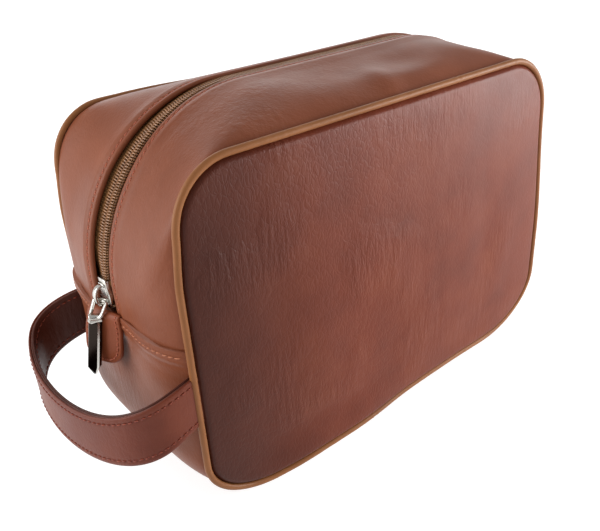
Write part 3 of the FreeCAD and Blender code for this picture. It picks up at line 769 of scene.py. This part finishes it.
def panel(side, name):
    """Crowned leather panel that dives into its seam beside the piping."""
    place, normal = seam_loop(side > 0)
    inner_edge = place - normal * (PIPING_R - 1.0)
    centre = np.array([0.0, (SEAM_TOP + PIPING_R) / 2])
    insets = np.concatenate([np.linspace(0, 3, 8), (3.8, 5.0, 6.5, 8.5, 11.0)])
    rings = [(inner_edge - normal * d, np.full(len(place), d)) for d in insets]
    last = rings[-1][0]
    for k in np.linspace(0, 0.985, 56)[1:]:
        ring = centre + (last - centre) * (1 - k)
        rings.append((ring, insets[-1] + np.linalg.norm(last - ring, axis=1)))

    def standing(ring, out):
        return np.stack([ring[:, 0], side * out, ring[:, 1]], 1)

    inside = np.full(len(place), SEAM_Y - 0.02)
    rim = np.full(len(place), SEAM_Y - 1.5) + seam_swell(place, side)
    points = [standing(last, inside), standing(rings[0][0], rim)]
    for ring, distance in rings:
        u = np.clip(ring[:, 0] / SEAM_HALF, -1, 1)
        v = np.clip((ring[:, 1] - centre[1]) / centre[1], -1, 1)
        crown = PANEL_CROWN * ((1 - u ** 2) * (1 - v ** 2)) ** 0.6
        edge = 2.6 * (1 - np.exp(-(distance / 1.9) ** 2.5))
        soft = panel_relief(ring, side) * smooth_step(distance, 3.0, 16.0)
        out = SEAM_Y - 1.2 + edge + crown + soft + seam_swell(ring, side)
        points.append(standing(ring, out))
    return sheet(name, np.stack(points), PANEL_LEATHER, flip=side > 0)


def seam_path(side):
    """The seam's line in space, evenly spaced, with its outward direction in the panel's plane."""
    place, _ = seam_loop(side > 0)
    path = np.stack([place[:, 0], side * (SEAM_Y + seam_swell(place, side)), place[:, 1]], 1)
    dense = resampled(path, 1.2, closed=True)
    tangent = unit(np.roll(dense, -1, axis=0) - np.roll(dense, 1, axis=0))
    return dense, np.cross(tangent, (0.0, 1.0, 0.0))


def along_seam(side, section, name, material, swell=1.0):
    """A closed loop round the seam with the given (outwards, sideways) section."""
    dense, outwards = seam_path(side)
    sideways = np.broadcast_to((0.0, float(side), 0.0), dense.shape)
    points = carried(dense, section, outwards, sideways, swell)
    points[:, 2] = np.maximum(points[:, 2], 0.0)
    faces = ring_faces(len(dense), len(section), closed=True, flip=side > 0)
    return new_piece(name, points, faces, material)


PIPING_JOINTS = ((42.0, SEAM_TOP), (-18.0, PIPING_R))   # x and z of the cover's butt joints


def piping(side, name):
    """Piping along one seam, its cover slightly uneven, with two butt joints."""
    dense, _ = seam_path(side)
    swell = 1 + 0.025 * wave(dense, 7.0, 2.2) + 0.02 * wave(dense, 2.5, 6.1)
    for joint_x, joint_z in PIPING_JOINTS:
        gap = np.abs(dense[:, 0] - joint_x) + 100 * (np.abs(dense[:, 2] - joint_z) > 6)
        swell = swell + 0.05 * bump_at(gap, 1.6, 1.0) - 0.12 * bump_at(gap, 0.0, 0.7)
    return along_seam(side, circle(PIPING_R, 16), name, PIPING_LEATHER, swell)


def piping_cord(side, name):
    return along_seam(side, circle(extent("front_piping_cord", 1) / 2, 10), name, CORD_CLOTH)


def seam_binding(side, name):
    """Tape that covers the raw edges on the inside of the seam."""
    section = [(-PIPING_R - 0.3, -2.2), (-PIPING_R - 0.3, -2.8), (-8.0, -2.8), (-8.0, -2.2)]
    return along_seam(side, section, name, BINDING_CLOTH)


# ---- zip ----

TRACK_BELOW = math.asin((TRACK_C[2] - END_SEAM_Z) / TRACK_R)
TRACK_ARC = TRACK_R * (math.pi / 2 + TRACK_BELOW)
TRACK_LENGTH = 2 * TRACK_ARC + 2 * TRACK_HALF_FLAT
COIL_PITCH = 1.3
COIL_WIRE = 0.46
COIL_TURN_POINTS = 12
COIL_END = 3.4                   # from the end of the track to the first turn
COIL_SEAM_END = 4.0
TAPE_END = 0.4
TAPE_SECTION = (
    # from the middle of the zip outwards and back, and above the tape's face
    (0.7, 0.0), (1.2, 0.06), (3.3, 0.06), (3.7, 0.22), (4.3, 0.22), (4.7, 0.02), (7.0, 0.0),
    (10.0, 0.0), (TAPE_HALF, 0.0), (TAPE_HALF, -0.55), (8.0, -0.55), (0.7, -0.55),
)


def track(s):
    """Place (x, z) and outward direction on the coil's outer face, s from the left end."""
    s = np.asarray(s, float)
    mirror = np.where(s < TRACK_LENGTH / 2, 1, -1)
    near = np.minimum(s, TRACK_LENGTH - s)
    angle = math.pi + TRACK_BELOW - near / TRACK_R
    out = np.stack([mirror * np.cos(angle), np.sin(angle)], -1)
    out[near >= TRACK_ARC] = (0.0, 1.0)
    x = np.where(near < TRACK_ARC, mirror * TRACK_C[0], s - TRACK_ARC - TRACK_HALF_FLAT)
    return np.stack([x, np.full(s.shape, TRACK_C[2])], -1) + TRACK_R * out, out


def track_points(s, y, height):
    """Places along the zip, across it and out from the coil, which tilt above the slider."""
    place, out = track(s)
    above_slider = smooth_step(place[..., 1], SLIDER_TOP_Z, SLIDER_TOP_Z + 14.0)
    height = height + zip_tilt(place[..., 0], place[..., 1]) * above_slider * y
    place = place + out * np.asarray(height)[..., None]
    return np.stack([place[..., 0], np.broadcast_to(y, place.shape[:-1]), place[..., 1]], -1)


def strand(s, y, height, lean, section):
    """Points and faces of a strand that follows the zip; lean tips its section across."""
    _, out = track(s)
    up = np.stack([out[:, 0], np.full(len(s), lean), out[:, 1]], 1)
    return swept(track_points(s, y, height), up, section), ring_faces(len(s), len(section))


def coil(side, name):
    """One row of the zip: a flattened spiral whose heads lock into the other row's."""
    turns = int((TRACK_LENGTH - 2 * COIL_END) / COIL_PITCH)
    turn = np.arange(turns * COIL_TURN_POINTS + 1) / COIL_TURN_POINTS
    phase = 2 * math.pi * turn
    s = COIL_END + COIL_PITCH * (turn + 0.25 * side)
    y = side * (1.45 - 1.75 * np.cos(phase))
    height = -1.1 + 0.78 * np.sin(phase)
    return new_piece(name, *strand(s, y, height, 0.35, circle(COIL_WIRE, 6)), COIL_PLASTIC)


def coil_seam(side, name):
    """The two rows of thread that hold a coil to its tape."""
    parts = Parts()
    s = np.arange(COIL_SEAM_END, TRACK_LENGTH - COIL_SEAM_END, COIL_PITCH / 2)
    height = -0.12 + 0.14 * np.cos(2 * math.pi * s / COIL_PITCH)
    for y in (1.5, 2.6):
        parts.add(*strand(s, side * y, height, 0.0, circle(0.2, 5)))
    return parts.make(name, TAPE_CLOTH)


def tape(side, name):
    """Woven tape with a ribbed selvedge beside the coil."""
    s = np.arange(TAPE_END, TRACK_LENGTH - TAPE_END, 1.6)
    rings = [track_points(s, side * y, np.full(len(s), TAPE_TOP + height)) for y, height in TAPE_SECTION]
    return sheet(name, np.stack(rings, 1), TAPE_CLOTH, flip=side > 0)


# ---- stitches ----

STITCH_SHAPE = (
    # share of its length, height and girth, both in thread radii
    (-0.05, -0.45, 0.45), (0.12, 0.12, 0.9), (0.5, 0.30, 1.0), (0.88, 0.12, 0.9), (1.05, -0.45, 0.45),
)
STITCH_RADIUS = 0.42


def add_stitch(parts, start, end, out, side):
    """One stitch: a short strand that rises out of the leather and dives back."""
    ring = circle(1.0, 6)
    points = []
    for share, rise, girth in STITCH_SHAPE:
        centre = start + (end - start) * share + out * (rise * STITCH_RADIUS * 1.6)
        radius = girth * STITCH_RADIUS
        points += [centre + radius * (c * side + 0.75 * s * out) for c, s in ring]
    parts.add(points, ring_faces(len(STITCH_SHAPE), len(ring)))


def stitch_row(parts, path, outs, pitch=3.2, length=2.5, slant=0.12):
    """Even stitches along a path that lies on the leather."""
    run = run_along(path)

    def at(distance):
        place = np.array([np.interp(distance, run, path[:, i]) for i in range(3)])
        return place, unit(np.array([np.interp(distance, run, outs[:, i]) for i in range(3)]))

    count = int((run[-1] - length) / pitch)
    lead = (run[-1] - count * pitch - length) / 2
    for index in range(count + 1):
        start, out = at(lead + index * pitch)
        end, _ = at(lead + index * pitch + length)
        side = unit(np.cross(out, unit(end - start)))
        add_stitch(parts, start - side * slant, end + side * slant, out, side)


def zip_edge_stitches(side, name):
    y = side * ZIP_STITCH_Y
    points, outs = surface_grid(upper_seams(), crown_upper(), [(y, -zip_side_relief(y) - 0.05)])
    parts = Parts()
    stitch_row(parts, points[4:-4, 0], outs[4:-4, 0])
    return parts.make(name, RED_THREAD)


def end_seam_stitches():
    """Topstitching through the base strip's folded edges, at both ends and beside each tab."""
    parts = Parts()
    z = END_SEAM_Z + END_FOLD_RISE - END_STITCH_BELOW
    lift = float(end_seam_lift(END_STITCH_BELOW)) + 0.05
    seams, crown = lower_seams(), crown_lower()
    for end in (-1, 1):
        station = [-1 if end > 0 else 0]
        for side in (-1, 1):
            seam = [part[station] for part in seams[side > 0]]
            rows = []
            for y in side * np.linspace(11.6, GUSSET_Y - 2.5, 24):
                place, _ = across(seam, [part[station] for part in crown], y)
                rows.append((place[0, 0] + end * lift, y, z))
            outs = np.broadcast_to((float(end), 0.0, 0.0), (len(rows), 3))
            stitch_row(parts, np.array(rows), outs)
    return parts.make("end_seam_thread", THREAD)


# ---- end tabs ----

TAB_HALF = high("left_zip_tab")[1]
TAB_LENGTH = 28.0
TAB_LEAN = math.radians(8.0)
TAB_TURN = math.radians(25.0)
TAB_THICK = 2.0
TAB_CORNER = 8.5
TAB_BEND = 1.6                   # how far it runs level before it hangs
TAB_TOP_Z = END_SEAM_Z + 2.0
TAB_STITCH_IN = 2.1
TAB_RINGS = (
    # inset from the outline, height: down from the rounded, stitched face to the flat back
    (4.5, TAB_THICK), (3.0, TAB_THICK), (2.1, TAB_THICK - 0.12), (1.5, TAB_THICK),
    (0.9, TAB_THICK), (0.4, TAB_THICK - 0.12), (0.1, TAB_THICK - 0.45), (0.0, TAB_THICK - 0.95),
    (0.1, 0.5), (0.5, 0.1), (4.5, 0.0),
)


def tab_outline(inset):
    """Half-round outline (across, down), starting and ending at the top edge."""
    half = TAB_HALF - inset
    r = TAB_CORNER - inset * 0.6
    length = TAB_LENGTH - inset
    points = [(-half, d) for d in np.linspace(0.0, length - r, 8)]
    for turn in np.radians(np.linspace(0, 90, 9)[1:]):
        points.append((-half + r - r * math.cos(turn), length - r + r * math.sin(turn)))
    return np.array(points + [(-y, d) for y, d in points[::-1]])


def tab_ring(inset, out, turned):
    """The outline on the bag: it leaves the seam level and bends down. A turned tab follows
    the zip's tilt and twists further as it hangs."""
    y, down = tab_outline(inset).T
    lean = TAB_LEAN + 0.04 * np.sin(math.pi * np.clip(down / TAB_LENGTH, 0, 1))
    level = np.minimum(down, TAB_BEND)
    drop = np.maximum(down - TAB_BEND, 0)
    turn = turned * (ZIP_TILT + (TAB_TURN - ZIP_TILT) * smooth_step(down, 0.0, 12.0))
    x = -CROWN_HALF - 0.2 - level * 0.8 - drop * np.sin(lean) - out * np.cos(lean) - y * np.sin(turn)
    z = TAB_TOP_Z - 0.3 * level - drop * np.cos(lean) + out * np.sin(lean)
    return np.stack([x, y * np.cos(turn) - out * np.sin(turn), z], -1)


def tab_faces(count, size):
    """Faces of a tab made of open rings: its sides, its two flat faces and its top edge."""
    faces = []
    for i in range(count - 1):
        for j in range(size - 1):
            a, b = i * size + j, (i + 1) * size + j
            faces.append([a, a + 1, b + 1, b])
    last = (count - 1) * size
    for j in range(size // 2 - 1):
        faces.append([j, size - 1 - j, size - 2 - j, j + 1])
        faces.append([last + j, last + j + 1, last + size - 2 - j, last + size - 1 - j])
    starts = [i * size for i in range(count)]
    faces.append(starts + [a + size - 1 for a in reversed(starts)])
    return faces


def end_tab(mirror, name):
    """Leather tab of two layers, and its stitches."""
    turned = 0.0 if mirror else 1.0
    loops = [tab_ring(inset, out, turned) for inset, out in TAB_RINGS]
    points = np.concatenate(loops)
    faces = tab_faces(len(loops), len(loops[0]))
    parts = Parts()
    path = tab_ring(TAB_STITCH_IN, TAB_THICK - 0.05, turned)
    out = np.array([-math.cos(TAB_LEAN), 0.0, math.sin(TAB_LEAN)])
    stitch_row(parts, path, np.broadcast_to(out, path.shape), 2.8, 2.1, 0.08)
    stitches = np.array(parts.points)
    if mirror:
        points = points * (-1, 1, 1)
        stitches = stitches * (-1, 1, 1)
        faces = [f[::-1] for f in faces]
    tab = new_piece(name, points, faces, TAB_LEATHER)
    return tab, new_piece(name + "_stitches", stitches, parts.faces, RED_THREAD)


# ---- slider and pull ----

SLIDER_Z = (low("zip_slider")[2] + SLIDER_TOP_Z) / 2
SLIDER_S = TRACK_R * (TRACK_BELOW - math.asin((TRACK_C[2] - SLIDER_Z) / TRACK_R))
SLIDER_HALF = extent("zip_slider", 2) / 2
SLIDER_SIDE = (
    # along the zip and across it, down one side of the slider
    (-SLIDER_HALF, 3.6), (-SLIDER_HALF + 1.0, 4.8), (-SLIDER_HALF + 3.0, 5.0), (-0.6, 5.0), (0.6, 4.6),
    (1.8, 4.0), (3.2, 3.8), (SLIDER_HALF - 1.0, 3.8), (SLIDER_HALF, 3.3),
)
SLIDER_SKIRT = (
    (-SLIDER_HALF + 1.0, 4.7), (-0.8, 4.85), (1.6, 3.95), (SLIDER_HALF - 0.5, 3.75),
    (SLIDER_HALF - 0.5, 3.35), (1.4, 3.4), (-0.8, 3.5), (-SLIDER_HALF + 1.0, 3.5),
)
SLIDER_ARCH = ((3.5, 1.0), (3.7, 3.4), (2.8, 6.3), (-0.5, 6.8), (-5.4, 6.9), (-6.6, 4.2), (-5.2, 1.0))
SLIDER_FEET = ((3.7, 5.0, 1.3), (-5.6, 4.6, 1.1))   # along the zip, width and depth
LOW_PLATE_TOP = TAPE_TOP - 0.9
PLATE_CORE = 0.35                # the share of its size at which a plate's face is closed
PLATE_EDGE = ((1.2, 0.0), (0.35, 0.3), (0.0, 1.0))  # inwards and down, in edge radii


def slider_place(along, y, height):
    """Along the track from the slider's middle, across it, and out from the coil."""
    along, y, height = np.broadcast_arrays(np.asarray(along, float), y, height)
    return track_points(SLIDER_S + along, y, height)


def plate(parts, outline, height_low, height_high, radius=0.25):
    """Flat plate on the track with softened edges, from an (along, y) outline."""
    outline = np.array(outline, float)
    centre = outline.mean(0)
    away = unit(outline - centre)
    core = centre + (outline - centre) * PLATE_CORE
    upper = [(core, height_high)]
    lower = [(core, height_low)]
    for inwards, down in PLATE_EDGE:
        ring = outline - away * (radius * inwards)
        upper.append((ring, height_high - radius * down))
        lower.append((ring, height_low + radius * down))
    rings = [slider_place(ring[:, 0], ring[:, 1], height) for ring, height in upper + lower[::-1]]
    parts.add(np.concatenate(rings), ring_faces(len(rings), len(outline), flip=True))


def slider():
    parts = Parts()
    outline = list(SLIDER_SIDE) + [(along, -y) for along, y in SLIDER_SIDE[::-1]]
    plate(parts, outline, 0.3, 1.5)
    plate(parts, outline, LOW_PLATE_TOP - 1.1, LOW_PLATE_TOP)
    for side in (-1, 1):
        skirt = [(along, side * y) for along, y in SLIDER_SKIRT]
        plate(parts, skirt[::-1] if side < 0 else skirt, TAPE_TOP + 0.4, 0.7, 0.15)
    post = rectangle(-SLIDER_HALF + 0.6, -SLIDER_HALF + 4.0, 0.4)
    plate(parts, post, LOW_PLATE_TOP - 0.2, 0.6, 0.1)
    arch = smooth_path(SLIDER_ARCH, 34)
    path = slider_place(arch[:, 0], 0.0, arch[:, 1])
    wide = 1.0 + 0.16 * np.sin(np.linspace(0, math.pi, len(path)))
    section = rounded_rect(1.15, 2.3, 0.35)
    parts.add(swept(path, (0.0, 1.0, 0.0), section, wide), ring_faces(len(path), len(section)))
    for along, width, depth in SLIDER_FEET:
        foot = rectangle(along - depth / 2, along + depth / 2, width / 2)
        plate(parts, foot[::-1], 1.2, 2.2, 0.3)
    return parts.make("slider_casting", NICKEL)


PULL_LEAN = math.radians(12.5)
PULL_TWIST = math.radians(88.0)   # the blade rests on one edge, so its face turns to the front
NECK_TWIST = math.radians(22.0)
RING_TWIST = math.radians(30.0)
PULL_PROUD = 2.4
RING_LENGTH = 7.6
RING_HALF = 3.0
RING_CORNER = 1.1
NECK_LENGTH = 3.8
NECK_TOP = RING_LENGTH - 0.9
NECK_LEVELS = (
    # down the neck, half its width and half its thickness
    (0.0, 2.6, 1.0), (0.3, 3.0, 1.25), (1.3, 3.0, 1.35), (1.6, 2.75, 1.1), (2.1, 2.75, 1.1),
    (2.4, 3.05, 1.4), (NECK_LENGTH - 0.4, 3.1, 1.45), (NECK_LENGTH, 2.8, 1.2),
)
BLADE_TOP = NECK_TOP + NECK_LENGTH - 0.2
BLADE_LENGTH = 26.4
BLADE_HALF = 3.1
BLADE_EDGE = 0.7
BLADE_RIDGE = 2.2
RIDGE_ASIDE = -0.25
TIP_LENGTH = 4.0
BLADE_LEVELS = (
    # down the blade, half its width, and the heights of its edge, ridge and back
    (0.0, BLADE_HALF - 0.5, 0.5, 1.5, 0.7),
    (0.5, BLADE_HALF, BLADE_EDGE, BLADE_RIDGE, 0.9),
    (BLADE_LENGTH - TIP_LENGTH, BLADE_HALF * 1.02, BLADE_EDGE, BLADE_RIDGE, 0.9),
    (BLADE_LENGTH - 0.4, 0.75, 0.5, 1.6, 0.6),
    (BLADE_LENGTH, 0.6, 0.3, 0.9, 0.3),
)


def pull_place(points):
    """From the pull's own axes (out, across, down) to the bag."""
    points = np.asarray(points, float)
    out, y, down = points[..., 0], points[..., 1], points[..., 2]
    x = PULL_PIVOT[0] - out * math.cos(PULL_LEAN) - down * math.sin(PULL_LEAN)
    z = PULL_PIVOT[2] + out * math.sin(PULL_LEAN) - down * math.cos(PULL_LEAN)
    return np.stack([x, y + PULL_PIVOT[1], z], -1)


def twisted_place(points, twist=PULL_TWIST, proud=PULL_PROUD):
    """Like pull_place, for what hangs turned about its own length."""
    points = np.array(points, float)
    out, y = points[..., 0].copy(), points[..., 1].copy()
    points[..., 0] = out * math.cos(twist) + y * math.sin(twist) + proud
    points[..., 1] = -out * math.sin(twist) + y * math.cos(twist)
    return pull_place(points)


def ring_outline():
    """The pull's ring, a little wider at the top, in the pull's own axes."""
    points = []
    for sy, sd, start in ((1, -1, 0), (1, 1, 90), (-1, 1, 180), (-1, -1, 270)):
        y = sy * (RING_HALF - 0.15 * sd - RING_CORNER)
        down = RING_LENGTH / 2 + sd * (RING_LENGTH / 2 - RING_CORNER)
        for turn in np.radians(np.linspace(0, 90, 6)):
            angle = math.radians(start - 90) + turn
            points.append((0.0, y + RING_CORNER * math.cos(angle), down + RING_CORNER * math.sin(angle)))
    return np.array(points)


def add_ring(parts):
    ring = ring_outline()
    lean_out = PULL_PROUD * (ring[:, 2] / RING_LENGTH) ** 2
    path = resampled(twisted_place(ring, RING_TWIST, lean_out), 0.8, closed=True)
    around = np.vstack([path[-1:], path, path[:1]])
    face = pull_place(np.array([1.0, 0.0, 0.0])) - pull_place(np.zeros(3))
    section = rounded_rect(1.5, 1.5, 0.4)
    rings = swept(around, face, section)[len(section):-len(section)]
    parts.add(rings, ring_faces(len(path), len(section), closed=True))


def add_levels(parts, top, levels, flip=False):
    """A body from its sections, (out, across) pairs, each with its place down and its twist."""
    rings = []
    for down, section, twist in levels:
        section = np.array(section)
        level = np.full(len(section), top + down)
        rings.append(twisted_place(np.stack([section[:, 0], section[:, 1], level], 1), twist))
    parts.add(np.concatenate(rings), ring_faces(len(rings), len(rings[0]), flip=flip))


def neck_levels():
    """Block between ring and blade, with a groove round it, turning towards the blade."""
    for down, half, thick in NECK_LEVELS:
        section = rounded_rect(2 * half, 2 * thick, 0.5)[:, ::-1] + (0.1, 0.0)
        yield down, section, PULL_TWIST - NECK_TWIST * (1 - down / NECK_LENGTH)


def blade_section(side, edge, ridge, back):
    """Cross-section with a raised middle, (out, across) pairs."""
    middle = RIDGE_ASIDE * side
    return [(-back, -side + 0.5), (-back, side - 0.5), (-0.1, side), (edge, side),
            (ridge, middle + 0.25), (ridge, middle - 0.25), (edge, -side), (-0.1, -side)]


def ridge_section(side, ridge):
    """The polished line along the top of the ridge."""
    half = min(0.5, side / 2)
    middle = RIDGE_ASIDE * side
    return [(ridge - 0.5, middle - half), (ridge - 0.5, middle + half),
            (ridge + 0.06, middle + half), (ridge + 0.06, middle - half)]


def pull():
    """The bright casting of ring, neck and ridge, and the dark blade."""
    parts = Parts()
    add_ring(parts)
    add_levels(parts, NECK_TOP, neck_levels(), flip=True)
    ridge = [(down, ridge_section(side, top), PULL_TWIST) for down, side, _, top, _ in BLADE_LEVELS]
    add_levels(parts, BLADE_TOP, ridge)
    blade = Parts()
    body = [(down, blade_section(*sizes), PULL_TWIST) for down, *sizes in BLADE_LEVELS]
    add_levels(blade, BLADE_TOP, body)
    casting = parts.make("pull_casting", NICKEL, smooth=False)
    return casting, blade.make("pull_blade", DARK_NICKEL, smooth=False)


# ---- carry strap ----

STRAP_CONTROL = (
    (-113.0, -52.4, 66.5), (-134.0, -56.0, 66.5), (-152.0, -63.0, 65.5), (-158.0, -50.0, 36.0),
    (-172.0, 20.0, 38.0), (-168.0, 66.0, 46.0), (-148.0, 62.0, 60.0), (-132.0, 53.5, 66.5),
    (-113.0, 51.8, 66.5),
)
STRAP_OUTER = 1.35
STRAP_CORE = 0.8
STRAP_STITCH_IN = 2.9            # from the strap's edge to its stitches


def strap_section(low_out, high_out, half, grooved):
    """Closed section of one layer, (across, out) pairs, across the face and back."""
    thickness = high_out - low_out
    section = []
    for u in np.linspace(-half + 0.5, half - 0.5, 33):
        dent = 0.0
        if grooved:
            groove = 0.28 * bump_at(abs(u), half - STRAP_STITCH_IN, 0.5)
            dent = groove + 0.25 * smooth_step(abs(u), half - 1.6, half)
        section.append((u, high_out - dent))
    section.append((half, high_out - thickness * 0.35))
    section.append((half, low_out + thickness * 0.2))
    section += [(u, low_out) for u in (half - 0.4, 0.0, -half + 0.4)]
    section.append((-half, low_out + thickness * 0.2))
    section.append((-half, high_out - thickness * 0.35))
    return section


def mirrored_across(points, path, face):
    """Points of each ring, reflected through the strap's middle surface."""
    rings = points.reshape(len(path), -1, 3)
    away = np.einsum("ijk,ik->ij", rings - path[:, None], face)
    return (rings - 2 * away[:, :, None] * face[:, None]).reshape(-1, 3)


def strap_pieces():
    """Outer and inner leather, the webbing between them, and the stitches through all three."""
    path = resampled(smooth_path(STRAP_CONTROL, 400), 1.1)
    out, width = frames_along(path, (0.0, 0.0, 1.0))
    face = -out
    half = STRAP_WIDTH / 2
    core = STRAP_CORE / 2
    skin = strap_section(core, core + STRAP_OUTER, half, True)
    points = carried(path, skin, width, face)
    faces = ring_faces(len(path), len(skin), flip=True)
    outer = new_piece("strap_outer_leather", points, faces, STRAP_LEATHER)
    inner_faces = [corners[::-1] for corners in faces]
    inner = mirrored_across(points, path, face)
    # the inner face takes the darker copy of the strap leather: painted shade
    inner = new_piece("strap_inner_leather", inner, inner_faces, STRAP_BACK_SHADED_LEATHER)
    web = strap_section(-core + 0.02, core - 0.02, half - 0.35, False)
    middle = new_piece("strap_web", carried(path, web, width, face), faces, EDGE_PAINT)
    parts = Parts()
    for side in (-1, 1):
        for away in (-1, 1):
            line = path + width * side * (half - STRAP_STITCH_IN)
            line = line + face * away * (core + STRAP_OUTER - 0.12)
            stitch_row(parts, line[8:-8], face[8:-8] * away, 3.2, 2.4, 0.1)
    return outer, inner, middle, parts.make("strap_thread", DARK_THREAD)


# ---- camera, light and floor ----

CAMERA_PLACE = (-229.0, -273.0, 259.0)
CAMERA_AZIMUTH = math.radians(-37.75)
CAMERA_HEIGHT = math.radians(28.54)
CAMERA_ROLL = math.radians(-3.87)
CAMERA_LENS = 42.68
FLOOR_REACH = 30000.0


def set_camera():
    ca, sa = math.cos(CAMERA_AZIMUTH), math.sin(CAMERA_AZIMUTH)
    ch, sh = math.cos(CAMERA_HEIGHT), math.sin(CAMERA_HEIGHT)
    forward = Vector((-sa * ch, ca * ch, -sh))
    level = Vector((ca, sa, 0.0))
    upright = level.cross(forward)
    cr, sr = math.cos(CAMERA_ROLL), math.sin(CAMERA_ROLL)
    right = cr * level + sr * upright
    up = -sr * level + cr * upright
    data = bpy.data.cameras.new("camera")
    data.lens = CAMERA_LENS
    data.sensor_width = 36.0
    data.clip_start = 0.01
    camera = placed("camera", data)
    turn = Matrix((right, up, -forward)).transposed()
    camera.matrix_world = Matrix.Translation(Vector(CAMERA_PLACE) * MM) @ turn.to_4x4()
    bpy.context.scene.camera = camera


def area_light(name, place, aim, size, power):
    data = bpy.data.lights.new(name, "AREA")
    data.shape = "RECTANGLE"
    data.size, data.size_y = size
    data.energy = power
    light = placed(name, data)
    light.location = place
    light.rotation_euler = (Vector(aim) - Vector(place)).to_track_quat("-Z", "Y").to_euler()


def set_world():
    """Soft white surroundings, darker in front so that the front panel keeps its depth,
    and brightening to the floor's white at the horizon."""
    world = bpy.data.worlds.new("studio")
    world.use_nodes = True
    graph = Graph(world.node_tree)
    way = graph.add("TexCoord", output="Generated")
    y, z = (graph.add("SeparateXYZ", {0: way}, axis) for axis in ("Y", "Z"))
    depth = graph.maths("ADD", graph.maths("MULTIPLY", y, 0.5), 0.5)
    colour = graph.ramp(depth, (0.10, (0.60,) * 3), (0.55, (0.88,) * 3))
    colour = graph.scale_colour(colour, graph.fade(z, 0.02, 0.16, 1.9, 1.0))
    graph.feed(world.node_tree.nodes["Background"], {"Color": colour, "Strength": 0.80})
    bpy.context.scene.world = world


def set_studio():
    set_world()
    area_light("tent_left", (-0.9, 0.40, 0.45), (0.0, 0.05, 0.08), (0.7, 0.8), 9.0)
    area_light("tent_back", (0.5, 0.9, 0.6), (0.0, 0.0, 0.12), (1.2, 0.8), 4.0)
    area_light("tent_right", (0.52, -0.42, 0.14), (0.10, -0.06, 0.07), (0.35, 0.4), 5.5)
    scene = bpy.context.scene
    scene.view_settings.view_transform = "Standard"
    scene.view_settings.look = "None"


def set_floor():
    material, graph, shader, place = new_material("pale_floor")
    graph.feed(shader, {
        "Base Color": graph.ramp(graph.noise(place, 3.0, 2.0), (0.3, (0.33,) * 3), (0.7, (0.35,) * 3)),
        "Emission Color": (1.0, 1.0, 1.0, 1.0),
        "Emission Strength": 0.84,
        "Roughness": 0.6,
    })
    corners = [(x * FLOOR_REACH, y * FLOOR_REACH, 0) for x, y in ((-1, -1), (1, -1), (1, 1), (-1, 1))]
    floor = new_piece("floor", corners, [[0, 1, 2, 3]], material, smooth=False)


# ---- the pieces on their bodies ----

def set_material(node, material):
    mesh = frame["nodes"][node].data
    mesh.materials.clear()
    mesh.materials.append(material)


def dress_cad_nodes():
    """Materials for the CAD nodes that stay: what is inside the bag, and the zip's metal clips."""
    for side in ("front", "back"):
        set_material(f"{side}_panel_board", BOARD)
        set_material(f"{side}_panel_lining", LINING_CLOTH)
    set_material("base_board", BOARD)
    set_material("zip_top_stops", NICKEL)
    set_material("zip_bottom_stop", NICKEL)


def stands_for(piece, body, slot, *nodes):
    """The piece rides on a body and replaces CAD nodes. The slot is not used."""
    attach(piece, body)
    if nodes:
        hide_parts(*nodes)


SIDE_PIECES = (
    # what makes it, its name, its slot and the CAD node that it stands for
    (panel, "panel_leather", "panel_leather", "panel"),
    (piping, "piping", "piping_leather", "piping_cover"),
    (piping_cord, "cord", "cotton_cord", "piping_cord"),
    (seam_binding, "binding", "binding_tape", "seam_binding"),
    (zip_gusset, "zip_gusset_leather", "gusset_leather", "zip_gusset"),
    (tape, "tape", "zip_tape", "zip_tape"),
    (coil, "coil", "zip_coil", "zip_coil"),
    (coil_seam, "coil_thread", "thread"),
    (zip_edge_stitches, "zip_edge_stitches", "thread"),
)


def build():
    for side, word in ((-1, "front"), (1, "back")):
        for make, name, slot, *nodes in SIDE_PIECES:
            piece = make(side, f"{word}_{name}")
            stands_for(piece, "bag", slot, *[f"{word}_{node}" for node in nodes])
    stands_for(base_gusset(), "bag", "gusset_leather", "base_gusset")
    for lining, node in linings():
        stands_for(lining, "bag", "lining_fabric", node)
    stands_for(end_seam_stitches(), "bag", "thread", "end_seam_stitching")
    for mirror, word in ((False, "left"), (True, "right")):
        tab, thread = end_tab(mirror, f"{word}_tab_leather")
        stands_for(tab, "bag", "gusset_leather", f"{word}_zip_tab")
        stands_for(thread, "bag", "thread")
    stands_for(slider(), "slider", "nickel", "zip_slider")
    casting, blade = pull()
    stands_for(casting, "pull", "nickel", "zip_pull")
    stands_for(blade, "pull", "nickel")
    dress_strap()


def dress_strap():
    """The strap, sewn into the bag at its ends, whose loop swings: here its pieces are baked where they
    stand and replace its CAD nodes.
    """
    outer, inner, web, thread = strap_pieces()
    for piece, slot, nodes in (
        (outer, "strap_leather", ("strap_outer", "front_strap_root", "back_strap_root")),
        (inner, "strap_leather", ("strap_inner",)),
        (web, "strap_webbing", ("strap_core",)),
        (thread, "thread", ("strap_stitching",)),
    ):
        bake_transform(piece)
        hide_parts(*nodes)


set_camera()
set_studio()
set_floor()
dress_cad_nodes()
build()
